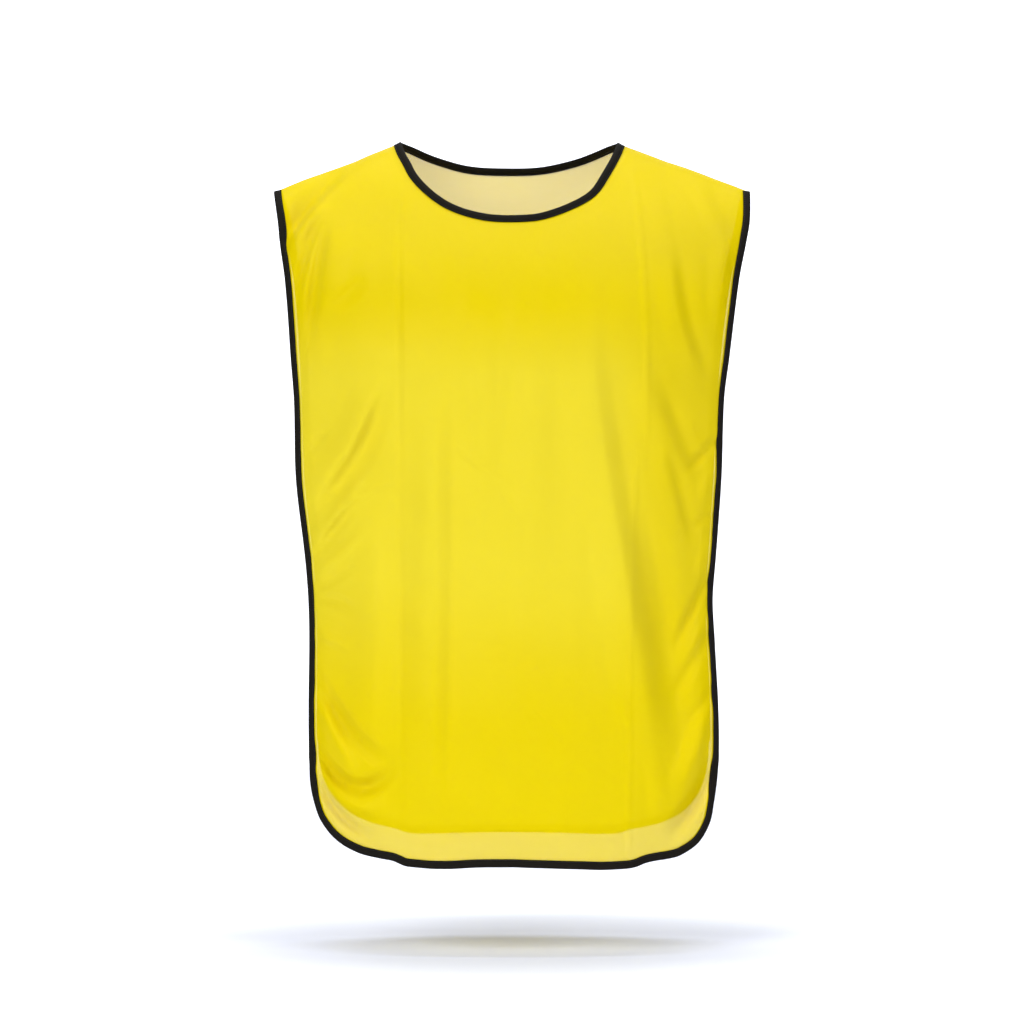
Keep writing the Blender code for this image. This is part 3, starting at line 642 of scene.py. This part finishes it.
BACK_FOLDS = [Fold(*row) for row in (
    # Main drape below the shoulder blades
    ((-0.070, -0.170), (-0.078, -0.350), (-0.066, -0.600), 0.022, 0.028, -0.0064, 0.1),
    ((-0.030, -0.200), (-0.038, -0.380), (-0.030, -0.560), 0.026, 0.022, 0.0052),
    ((0.010, -0.180), (0.006, -0.290), (0.014, -0.420), 0.018, 0.016, -0.0030),
    ((0.052, -0.190), (0.062, -0.400), (0.048, -0.640), 0.022, 0.028, -0.0062, 0.1),
    ((0.086, -0.165), (0.098, -0.310), (0.112, -0.500), 0.022, 0.024, 0.0058, 0.1),
    ((-0.104, -0.230), (-0.112, -0.370), (-0.104, -0.540), 0.022, 0.020, 0.0044),
    ((0.134, -0.400), (0.128, -0.500), (0.118, -0.610), 0.018, 0.018, -0.0036),
    # Drag folds towards the side elastics
    ((0.106, -0.202), (0.146, -0.302), (0.204, -0.384), 0.010, 0.015, -0.0072, 0.3),
    ((0.118, -0.182), (0.160, -0.276), (0.206, -0.340), 0.015, 0.010, 0.0060, 0.2),
    ((0.126, -0.318), (0.164, -0.366), (0.204, -0.398), 0.009, 0.011, 0.0040, 0.2),
    ((-0.102, -0.196), (-0.146, -0.294), (-0.206, -0.378), 0.014, 0.010, -0.0072, 0.3),
    ((-0.116, -0.176), (-0.160, -0.262), (-0.208, -0.326), 0.011, 0.014, 0.0060, 0.2),
    ((-0.132, -0.324), (-0.166, -0.372), (-0.204, -0.402), 0.010, 0.009, 0.0042, 0.2),
    # Below the waist
    ((-0.202, -0.426), (-0.150, -0.486), (-0.092, -0.576), 0.011, 0.014, -0.0062, 0.3),
    ((-0.200, -0.462), (-0.168, -0.520), (-0.130, -0.604), 0.013, 0.011, 0.0046, 0.1),
    ((0.202, -0.424), (0.155, -0.490), (0.112, -0.600), 0.014, 0.011, -0.0066, 0.3),
    ((0.202, -0.468), (0.172, -0.530), (0.144, -0.612), 0.012, 0.012, 0.0044, 0.1),
    # Shoulders
    ((-0.158, 0.006), (-0.192, -0.042), (-0.216, -0.096), 0.010, 0.018, -0.0070, 0.3),
    ((0.154, 0.008), (0.190, -0.040), (0.214, -0.102), 0.018, 0.010, -0.0074, 0.3),
    ((0.150, -0.020), (0.162, -0.084), (0.170, -0.160), 0.018, 0.018, 0.0040),
    ((-0.148, -0.024), (-0.158, -0.094), (-0.166, -0.170), 0.018, 0.018, 0.0038),
    # Pressed creases from the packing
    ((-0.108, 0.040), (-0.106, -0.250), (-0.104, -0.740), 0.005, 0.005, 0.0018, 1.0),
    ((0.110, 0.040), (0.114, -0.250), (0.112, -0.740), 0.005, 0.005, 0.0018, 1.0),
)]
BACK_NECK = [
    (-0.098, 0.0208), (-0.082, 0.0150), (-0.065, 0.0100), (-0.049, 0.0062), (-0.032, 0.0041),
    (-0.008, 0.0034), (0.017, 0.0035), (0.034, 0.0050), (0.050, 0.0080), (0.067, 0.0120),
    (0.083, 0.0172), (0.095, 0.0212),
]
BACK_HEM_LEFT = [
    (-0.191, -0.5650), (-0.190, -0.5830), (-0.186, -0.6010), (-0.178, -0.6180), (-0.162, -0.6350),
    (-0.143, -0.6460), (-0.125, -0.6515), (-0.114, -0.6545), (-0.108, -0.6570), (-0.100, -0.6588),
    (-0.080, -0.6594), (-0.050, -0.6590), (0.0, -0.6585),
]
BACK_HEM_RIGHT = [
    (0.194, -0.5650), (0.193, -0.5830), (0.190, -0.6010), (0.183, -0.6190), (0.167, -0.6370),
    (0.147, -0.6475), (0.128, -0.6525), (0.117, -0.6550), (0.110, -0.6575), (0.101, -0.6592),
    (0.080, -0.6597), (0.050, -0.6592), (0.0, -0.6585),
]
BACK = Cut(
    1, BACK_SECTIONS, BACK_FOLDS, BACK_NECK, BACK_HEM_LEFT, BACK_HEM_RIGHT,
    roundness=2.6, turn_powers=(3.0, 0.62),
)

# The inside of the back is painted pale in the neck, as painted light for the light behind that comes
# through it, and it is more open there too.
BACK_INSIDE_PAINTED_LIGHT = (0.960, 0.890, 0.350, 1.0)
BACK_INSIDE_DEEP = (0.880, 0.750, 0.0060, 1.0)
BACK_INSIDE_OPEN = (0.16, 0.75)
NECK_PAINTED_LIGHT_FROM = (0.66, 0.76)

knit_back_inside = knit_material(
    "mesh_knit_back_inside", BACK_INSIDE_PAINTED_LIGHT, BACK_INSIDE_DEEP, NECK_PAINTED_LIGHT_FROM, inside_open=BACK_INSIDE_OPEN
)
back_cloth = make_panel("back_cloth", BACK, [knit_face, knit_back_inside])
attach(back_cloth, "root")
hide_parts("back_panel")

# Neck binding
# One ring of narrow black knit tape, folded in half lengthwise over the raw neck edge of both panels and
# sewn through with a single row of stitches near its inner edge.
TAPE_WALL = 0.0005
TAPE_STAND_OFF = 0.0008
TAPE_STEP = 0.0025
TAPE_STIFF = 2
PATH_STEPS = 3000


def edge_frames(cut, path):
    """For places along a bound edge: the cloth's edge point and the direction out over the edge.

    path runs so that the panel lies to its right as the face is seen, which puts the opening to its left.
    """
    run = np.gradient(path, axis=0)
    inward = np.stack([run[:, 1], -run[:, 0]], axis=1) * cut.facing
    inward /= np.linalg.norm(inward, axis=1, keepdims=True)
    edge = on_cloth(cut, path[:, 0], path[:, 1])
    near = path + inward * TAPE_WIDTH
    stretch = np.linalg.norm(on_cloth(cut, near[:, 0], near[:, 1]) - edge, axis=1)
    near = path + inward * (TAPE_WIDTH**2 / stretch)[:, None]
    near[:, 1] = np.minimum(near[:, 1], seam_height(near[:, 0]))
    out = edge - on_cloth(cut, near[:, 0], near[:, 1])
    return edge, out / np.linalg.norm(out, axis=1, keepdims=True)


def evenly(points, directions):
    """Points and slightly smoothed directions again, at even steps along a closed line."""
    points, directions = (np.concatenate([line, line[:1]]) for line in (points, directions))
    lengths = lengths_along(points)
    at = np.linspace(0, lengths[-1], round(lengths[-1] / TAPE_STEP), endpoint=False)
    lines = np.concatenate([points, directions], axis=1)
    lines = np.stack([np.interp(at, lengths, lines[:, axis]) for axis in range(6)], axis=1)
    smooth = sum(np.roll(lines[:, 3:], shift, axis=0) for shift in range(-TAPE_STIFF, TAPE_STIFF + 1))
    return lines[:, :3], smooth / np.linalg.norm(smooth, axis=1, keepdims=True)


def ring_frames(half_frames):
    """A whole binding's even edge points and outward directions, from its halves on front and back."""
    halves = zip(half_frames(FRONT), half_frames(BACK))
    return evenly(*(np.concatenate(lines) for lines in halves))


def cloth_face(points, out):
    """Directions square to the cloth along a closed bound edge."""
    run = np.roll(points, -1, axis=0) - np.roll(points, 1, axis=0)
    face = np.cross(out, run)
    return face / np.linalg.norm(face, axis=1, keepdims=True)


def line_mesh(name, rows, closed=True, **directions):
    """Lines of edges, which may carry directions at their points, for a shape tree to follow."""
    points, edges = [], []
    for row in rows:
        first, count = len(points), len(row)
        points += row.tolist()
        edges += [(first + i, first + (i + 1) % count) for i in range(count if closed else count - 1)]
    mesh = bpy.data.meshes.new(name)
    mesh.from_pydata(points, edges, [])
    for direction, values in directions.items():
        layer = mesh.attributes.new(direction, "FLOAT_VECTOR", "POINT")
        layer.data.foreach_set("vector", values.astype(np.float32).ravel())
    return mesh


def new_shape_tree(name, sizes):
    """A geometry tree with named sizes as inputs. Gives its recipe, its geometry and its sizes."""
    tree = bpy.data.node_groups.new(name, "GeometryNodeTree")
    tree.interface.new_socket("Geometry", in_out="INPUT", socket_type="NodeSocketGeometry")
    for size in sizes:
        tree.interface.new_socket(size, in_out="INPUT", socket_type="NodeSocketFloat")
    tree.interface.new_socket("Geometry", in_out="OUTPUT", socket_type="NodeSocketGeometry")
    recipe = Recipe(tree)
    start = tree.nodes.new("NodeGroupInput")
    values = [Value(tree, socket) for socket in start.outputs]
    return recipe, values[0], values[1 : 1 + len(sizes)]


def finish_shape_tree(recipe, geometry, material):
    """Ends a tree: instances made real, the material set, and smooth faces."""
    real = recipe.add("GeometryNodeRealizeInstances", None, {0: geometry})
    painted = recipe.add("GeometryNodeSetMaterial", None, {"Geometry": real, "Material": material})
    smooth = recipe.add("GeometryNodeSetShadeSmooth", None, {0: painted})
    end = recipe.tree.nodes.new("NodeGroupOutput")
    recipe.tree.links.new(smooth.socket, end.inputs[0])


def shaped(name, mesh, tree, sizes):
    """The plain mesh that a tree makes from a line mesh with the given sizes."""
    guide = place_object(name + "_guide", mesh)
    follow = guide.modifiers.new("shape", "NODES")
    follow.node_group = tree
    for item in tree.interface.items_tree:
        if item.in_out == "INPUT" and item.name in sizes:
            follow[item.identifier] = sizes[item.name]
    bpy.context.view_layer.update()
    evaluated = guide.evaluated_get(bpy.context.evaluated_depsgraph_get())
    made = bpy.data.meshes.new_from_object(evaluated)
    made.name = name
    guide.modifiers.remove(follow)
    bpy.data.objects.remove(guide)
    return made


def ribbed_material(name, rib_width, loop_length, black, worn):
    """Black narrow fabric: fine ribs along it, a dull sheen, and slightly worn high spots."""
    made, recipe = new_material(name)
    place = recipe.add("ShaderNodeUVMap", {"uv_map": "tape"})
    along, across = recipe.first_two(place)
    rib = (across * (2 * math.pi / rib_width)).cosine()
    loop = (along * (2 * math.pi / loop_length)).cosine()
    fine = recipe.noise(place, 1400.0, 2.0)
    broad = recipe.noise(place, 40.0, 2.0)
    height = rib * 0.5 + loop * rib * 0.3 + fine * 0.5
    base = recipe.blend(broad * 0.6 + rib * 0.15 + fine * 0.3 - 0.05, black, worn)
    bump = recipe.bump(height, 0.5, RIB_HEIGHT)
    recipe.finish(recipe.shaded(base, 0.62 + fine * 0.2, TAPE_SHEEN, Normal=bump))
    return made


TAPE_SHEEN = 0.09
TAPE_RIB = 0.0011
TAPE_LOOP = 0.0016
TAPE_BLACK = (0.0044, 0.0036, 0.0022, 1.0)
TAPE_WORN = (0.0110, 0.0092, 0.0064, 1.0)
binding_tape = ribbed_material("binding_tape", TAPE_RIB, TAPE_LOOP, TAPE_BLACK, TAPE_WORN)


def tape_tree():
    """A tape folded over a line: two legs as wide as the tape, joined by a rounded fold."""
    recipe, line, (width, stand_off) = new_shape_tree("folded_tape", ["Width", "Stand off"])
    curve = recipe.add("GeometryNodeMeshToCurve", None, {0: line})
    face = recipe.add("GeometryNodeInputNamedAttribute", {"data_type": "FLOAT_VECTOR"}, {"Name": "face"})
    curve = recipe.add("GeometryNodeSetCurveNormal", {"mode": "FREE"}, {"Curve": curve, "Normal": face})
    corners = {}
    for number, (side, end) in enumerate(((1, 0), (1, 1), (-1, 1), (-1, 0)), 1):
        reach = stand_off * 1.2 if end else width * -1.0
        place = {"X": stand_off * side, "Y": reach}
        corners[f"Point {number}"] = recipe.add("ShaderNodeCombineXYZ", None, place)
    section = recipe.add("GeometryNodeCurvePrimitiveQuadrilateral", {"mode": "POINTS"}, corners)
    section = recipe.add("GeometryNodeSetSplineCyclic", None, {"Geometry": section, "Cyclic": False})
    rounding = {"Curve": section, "Count": 3, "Radius": stand_off * 0.9}
    section = recipe.add("GeometryNodeFilletCurve", {"mode": "POLY"}, rounding)
    measured = []
    for name, geometry in (("along", curve), ("across", section)):
        lengths = recipe.add("GeometryNodeSplineParameter", None, None, output=1)
        settings = {"data_type": "FLOAT", "domain": "POINT"}
        sockets = {"Geometry": geometry, "Name": name, "Value": lengths}
        measured.append(recipe.add("GeometryNodeStoreNamedAttribute", settings, sockets))
    curve, section = measured
    tape = recipe.add("GeometryNodeCurveToMesh", None, {"Curve": curve, "Profile Curve": section})
    finish_shape_tree(recipe, tape, binding_tape)
    return recipe.tree


folded_tape = tape_tree()


def lay_tape(name, points, out):
    """Sweeps the folded tape along an edge line, maps it along its length, and gives it its thickness."""
    line = line_mesh(name, [points], face=cloth_face(points, out))
    mesh = shaped(name, line, folded_tape, {"Width": TAPE_WIDTH, "Stand off": TAPE_STAND_OFF})
    places = []
    for attribute in ("along", "across"):
        values = np.empty(len(mesh.vertices), dtype=np.float32)
        mesh.attributes[attribute].data.foreach_get("value", values)
        places.append(values)
    map_points(mesh, "tape", np.stack(places, axis=1))
    piece = link_piece(name, mesh, [])
    give_wall(piece, TAPE_WALL, 1.0)
    return piece


THREAD_BLACK = (0.0060, 0.0056, 0.0054, 1.0)
THREAD_TWIST = 0.0007
TWIST_HEIGHT = 0.0001
THREAD_SHEEN = 0.35


def thread_material():
    """Black polyester sewing thread with a fine twist and a little gloss."""
    made, recipe = new_material("sewing_thread")
    place = recipe.add("ShaderNodeTexCoord", None, None, output=3)
    twist = recipe.noise(place, 1.0 / THREAD_TWIST, 1.0)
    bump = recipe.bump(twist, 0.4, TWIST_HEIGHT)
    recipe.finish(recipe.shaded(THREAD_BLACK, 0.42 + twist * 0.1, THREAD_SHEEN, Normal=bump))
    return made


sewing_thread = thread_material()


STITCH_SIZES = {"Spacing": 0.0028, "Length": 0.0021, "Thickness": 0.00045}
STITCH_INSET = 0.0012


def stitch_tree():
    """Stitches along lines: short round threads, evenly spaced, each turned along its line."""
    recipe, line, sizes = new_shape_tree("stitch_rows", STITCH_SIZES)
    spacing, length, thickness = sizes
    curve = recipe.add("GeometryNodeMeshToCurve", None, {0: line})
    places = recipe.add(
        "GeometryNodeCurveToPoints", {"mode": "LENGTH"}, {"Curve": curve, "Length": spacing}, output=None
    )
    points, run = (Value(recipe.tree, places.outputs[name]) for name in ("Points", "Tangent"))
    turn = recipe.add("FunctionNodeAlignRotationToVector", {"axis": "Z"}, {"Vector": run})
    round_thread = {"Vertices": 6, "Radius": thickness * 0.5, "Depth": length}
    thread = recipe.add("GeometryNodeMeshCylinder", {"fill_type": "NGON"}, round_thread)
    sewn = {"Points": points, "Instance": thread, "Rotation": turn}
    rows = recipe.add("GeometryNodeInstanceOnPoints", None, sewn)
    finish_shape_tree(recipe, rows, sewing_thread)
    return recipe.tree


stitch_rows = stitch_tree()


def sew(name, rows, closed=True):
    """A piece of stitches that follow the given rows of points."""
    return place_object(name, shaped(name, line_mesh(name, rows, closed), stitch_rows, STITCH_SIZES))


def tape_rows(points, out):
    """The two rows of a tape's stitches: on its front leg and on its back leg."""
    face = cloth_face(points, out) * (TAPE_STAND_OFF + TAPE_WALL)
    line = points - out * (TAPE_WIDTH - STITCH_INSET)
    return [line + face, line - face]


def neck_frames(cut):
    """Edge points and outward directions round half the neck: right to left in front, then back again."""
    path = spread_along(neck_line(cut), np.linspace(0, 1, PATH_STEPS))[1:-1]
    return edge_frames(cut, path[::-1] if cut.facing < 0 else path)


neck_points, neck_out = ring_frames(neck_frames)
neck_tape = lay_tape("neck_tape", neck_points, neck_out)
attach(neck_tape, "root")
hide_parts("neck_binding")

neck_stitches = sew("neck_stitches", tape_rows(neck_points, neck_out))
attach(neck_stitches, "root")

# Outer binding
# One ring of the same tape over the sides, rounded corners and hems of both panels. It runs on over the
# shoulder tips, so that it closes each armhole without a seam in sight.


def side_frames(cut):
    """Edge points and outward directions round one panel, from one shoulder tip to the other."""
    left, left_hem = half_outline(cut, -1)
    right, right_hem = half_outline(cut, 1)
    path = np.concatenate([left, left_hem[1:], right_hem[-2::-1], right[-2::-1]])
    fractions = (1 - np.cos(math.pi * np.linspace(0, 1, PATH_STEPS + 1))) / 2
    path = spread_along(path, fractions)[1:-1]
    return edge_frames(cut, path if cut.facing < 0 else path[::-1])


outer_points, outer_out = ring_frames(side_frames)
outer_tape = lay_tape("outer_tape", outer_points, outer_out)
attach(outer_tape, "root")
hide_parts("edge_binding")

outer_stitches = sew("outer_stitches", tape_rows(outer_points, outer_out))
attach(outer_stitches, "root")

# Side elastics
# A short flat band of ribbed black elastic at each side of the waist holds front and back together. Each
# end lies on the inside of the outer binding, and is sewn down with two rows of stitches.
ELASTIC_WALL = 0.0012
ELASTIC_INSET = 0.0019
ELASTIC_LAP = 0.0064
ELASTIC_BEND = 0.0050
ELASTIC_STEPS = 40
ELASTIC_RIBS = 9
ELASTIC_RIB_STEPS = 6
ELASTIC_RIB_HEIGHT = 0.00016
ELASTIC_SEWN_AT = (0.30, 0.75)
ELASTIC_SEWN_MARGIN = 0.08
WEB_RIB = 0.0027
WEB_LOOP = 0.0012
WEB_BLACK = (0.0060, 0.0054, 0.0050, 1.0)
WEB_WORN = (0.0160, 0.0145, 0.0135, 1.0)
elastic_webbing = ribbed_material("elastic_webbing", WEB_RIB, WEB_LOOP, WEB_BLACK, WEB_WORN)

# Heights of each band's upper and lower edge, where it is sewn to the front and to the back
Elastic = namedtuple("Elastic", "name node side on_front on_back")
ELASTICS = [
    Elastic("elastic_left", "side_elastic_left", -1, (-0.4098, -0.4341), (-0.4050, -0.4290)),
    Elastic("elastic_right", "side_elastic_right", 1, (-0.4147, -0.4394), (-0.4050, -0.4290)),
]


def elastic_end(cut, side, height):
    """One end of a band's edge: points a tape width in and at the cloth's edge, and the way inwards."""
    half_width = section_at(cut.sections, np.array(height))[0 if side < 0 else 1]
    places = side * (half_width - np.array([ELASTIC_LAP, 0.0]))
    points = on_cloth(cut, places, np.full(2, height))
    run = points[1] - points[0]
    inward = np.array([run[1], -run[0], 0.0]) / math.hypot(run[0], run[1])
    return points, inward * -np.sign(inward[1] * cut.facing)


def elastic_line(side, front_height, back_height):
    """One long edge of a band: along the front's binding, across the open side, along the back's."""
    (front_points, front_inward), (back_points, back_inward) = (
        elastic_end(cut, side, height) for cut, height in ((FRONT, front_height), (BACK, back_height))
    )
    front_inner, front_outer = front_points + front_inward * ELASTIC_INSET
    back_inner, back_outer = back_points + back_inward * ELASTIC_INSET
    leave = (front_outer - front_inner) / np.linalg.norm(front_outer - front_inner) * ELASTIC_BEND
    arrive = (back_inner - back_outer) / np.linalg.norm(back_inner - back_outer) * ELASTIC_BEND
    t = np.linspace(0, 1, ELASTIC_STEPS + 1)[:, None]
    across = smooth_step(t, front_outer, leave, back_outer, arrive)
    return np.concatenate([front_inner[None], across, back_inner[None]])


def elastic_frames(elastic):
    """Points along both edges of the band, and the directions from its outer to its inner face."""
    upper, lower = (
        elastic_line(elastic.side, on_front, on_back)
        for on_front, on_back in zip(elastic.on_front, elastic.on_back)
    )
    inward = np.cross(np.gradient((upper + lower) / 2, axis=0), lower - upper) * elastic.side
    return upper, lower, inward / np.linalg.norm(inward, axis=1, keepdims=True)


def elastic_mesh(name, frames):
    """The band with fine raised ribs along both faces, closed at its ends."""
    upper, lower, inward = frames
    share = np.linspace(0, 1, ELASTIC_RIBS * ELASTIC_RIB_STEPS + 1)[:, None]
    rib = ELASTIC_RIB_HEIGHT * np.sin(math.pi * ELASTIC_RIBS * share) ** 2
    rows = []
    for top, bottom, way in zip(upper, lower, inward):
        outer = top + (bottom - top) * share - way * rib
        inner = top + (bottom - top) * share + way * (ELASTIC_WALL + rib)
        rows.append(np.concatenate([outer, inner[::-1]]))
    round_trip, count = len(rows[0]), len(share)
    faces = []
    for row in range(len(rows) - 1):
        for place in range(round_trip):
            after = (place + 1) % round_trip
            first, second = row * round_trip, (row + 1) * round_trip
            faces.append((first + place, first + after, second + after, second + place))
    for first, turned in ((0, False), ((len(rows) - 1) * round_trip, True)):
        for place in range(count - 1):
            across = round_trip - 1 - place
            corners = (first + place, first + across, first + across - 1, first + place + 1)
            faces.append(corners[::-1] if turned else corners)
    mesh = bpy.data.meshes.new(name)
    mesh.from_pydata(np.concatenate(rows).tolist(), [], faces)
    shape = bmesh.new()
    shape.from_mesh(mesh)
    bmesh.ops.recalc_face_normals(shape, faces=shape.faces)
    shape.to_mesh(mesh)
    shape.free()
    along = lengths_along(upper)
    width = np.linalg.norm(lower - upper, axis=1).mean()
    across = np.concatenate([share[:, 0], share[::-1, 0]]) * width
    flat = np.stack([np.repeat(along, round_trip), np.tile(across, len(rows))], axis=1)
    map_points(mesh, "tape", flat)
    return mesh


def elastic_rows(elastic, frames):
    """The rows of stitches at both ends, on the band's inner face and through on the binding's outside."""
    upper, lower, inward = frames
    deep = ELASTIC_INSET + TAPE_STAND_OFF + TAPE_WALL
    rows = []
    for end, beside in ((0, 1), (-1, -2)):
        for share in ELASTIC_SEWN_AT:
            top = upper[end] + (upper[beside] - upper[end]) * share
            bottom = lower[end] + (lower[beside] - lower[end]) * share
            margin = (bottom - top) * ELASTIC_SEWN_MARGIN
            line = np.linspace(top + margin, bottom - margin, ELASTIC_STEPS)
            rows += [line + inward[end] * ELASTIC_WALL, line - inward[end] * deep]
    return rows


for elastic in ELASTICS:
    frames = elastic_frames(elastic)
    band = link_piece(elastic.name, elastic_mesh(elastic.name, frames), [elastic_webbing])
    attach(band, "root")
    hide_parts(elastic.node)
    band_stitches = sew(elastic.name + "_stitches", elastic_rows(elastic, frames), closed=False)
    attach(band_stitches, "root")

# Floor and light
# A pale seamless sheet swept up behind the bib, lit by large soft lamps above and to both sides, and glowing
# with painted light away from the bib.
FLOOR_HEIGHT = -0.7625
SWEEP_HALF_WIDTH = 2.4
SWEEP_PROFILE_START = -1.1
SWEEP_BACK = 5.6
SWEEP_TOP = 4.5
SWEEP_RADIUS = 1.2
SWEEP_STEPS = 24


def sweep_mesh():
    profile = [(SWEEP_PROFILE_START, FLOOR_HEIGHT)]
    for step in range(SWEEP_STEPS + 1):
        angle = math.pi / 2 * step / SWEEP_STEPS
        profile.append(
            (
                SWEEP_BACK - SWEEP_RADIUS + SWEEP_RADIUS * math.sin(angle),
                FLOOR_HEIGHT + SWEEP_RADIUS - SWEEP_RADIUS * math.cos(angle),
            )
        )
    profile.append((SWEEP_BACK, SWEEP_TOP))
    points = [(side * SWEEP_HALF_WIDTH, y, z) for y, z in profile for side in (-1, 1)]
    faces = [(2 * i, 2 * i + 1, 2 * i + 3, 2 * i + 2) for i in range(len(profile) - 1)]
    mesh = bpy.data.meshes.new("floor")
    mesh.from_pydata(points, [], faces)
    return mesh


# Squared distances from the bib over which the paper's painted glow grows: none right under the bib, where
# the lamps' shadow falls, half round that shadow, and full far off
GLOW_NEAR = (0.02, 0.19)
GLOW_FAR = (2.0, 12.0)
NO_GLOW = (0.0, 0.0, 0.0, 1.0)
HALF_GLOW = (0.40, 0.40, 0.40, 1.0)
FULL_GLOW = (1.0, 1.0, 1.0, 1.0)
PAPER_DARKER = (0.80, 0.84, 0.98, 1.0)
PAPER_LIGHTER = (0.82, 0.86, 1.00, 1.0)
PAPER_GRAIN = 30.0

paper, paper_recipe = new_material("studio_paper")
paper_place = paper_recipe.add("ShaderNodeTexCoord", None, None, output=3)
paper_x, paper_y = paper_recipe.first_two(paper_place)
paper_away = paper_x * paper_x + paper_y * paper_y
paper_near = paper_recipe.blend(paper_away.between(*GLOW_NEAR), NO_GLOW, HALF_GLOW)
paper_glow = paper_recipe.blend(paper_away.between(*GLOW_FAR), paper_near, FULL_GLOW)
paper_grain = paper_recipe.noise(paper_place, PAPER_GRAIN)
paper_colour = paper_recipe.blend(paper_grain, PAPER_DARKER, PAPER_LIGHTER)
paper_lit = {"Emission Color": paper_glow, "Emission Strength": 1.0}
paper_recipe.finish(paper_recipe.shaded(paper_colour, 0.9, 0.1, **paper_lit))
link_piece("floor", sweep_mesh(), [paper])

Lamp = namedtuple("Lamp", "name place aim size power")
LAMPS = [
    Lamp("key_left", (-1.5, -2.6, 0.95), (0.0, 0.0, -0.33), 1.6, 79.0),
    Lamp("fill_right", (2.1, -2.1, 0.90), (0.0, 0.0, -0.35), 1.4, 43.0),
    Lamp("overhead", (0.0, 0.3, 2.2), (0.0, 0.25, -0.40), 2.0, 57.0),
]


def hang_lamp(lamp):
    data = bpy.data.lights.new(lamp.name, "AREA")
    data.shape = "SQUARE"
    data.size = lamp.size
    data.energy = lamp.power
    light = place_object(lamp.name, data)
    light.location = lamp.place
    aim = [end - start for start, end in zip(lamp.place, lamp.aim)]
    flat = math.hypot(aim[0], aim[1])
    light.rotation_euler = (math.pi / 2 + math.atan2(aim[2], flat), 0.0, math.atan2(-aim[0], aim[1]))


for lamp in LAMPS:
    hang_lamp(lamp)

ROOM_BRIGHTNESS = 0.11
room = bpy.data.worlds.new("room")
room.use_nodes = True
room.node_tree.nodes["Background"].inputs["Color"].default_value = (1.0, 1.0, 1.0, 1.0)
room.node_tree.nodes["Background"].inputs["Strength"].default_value = ROOM_BRIGHTNESS
bpy.context.scene.world = room
bpy.context.scene.view_settings.view_transform = "Standard"
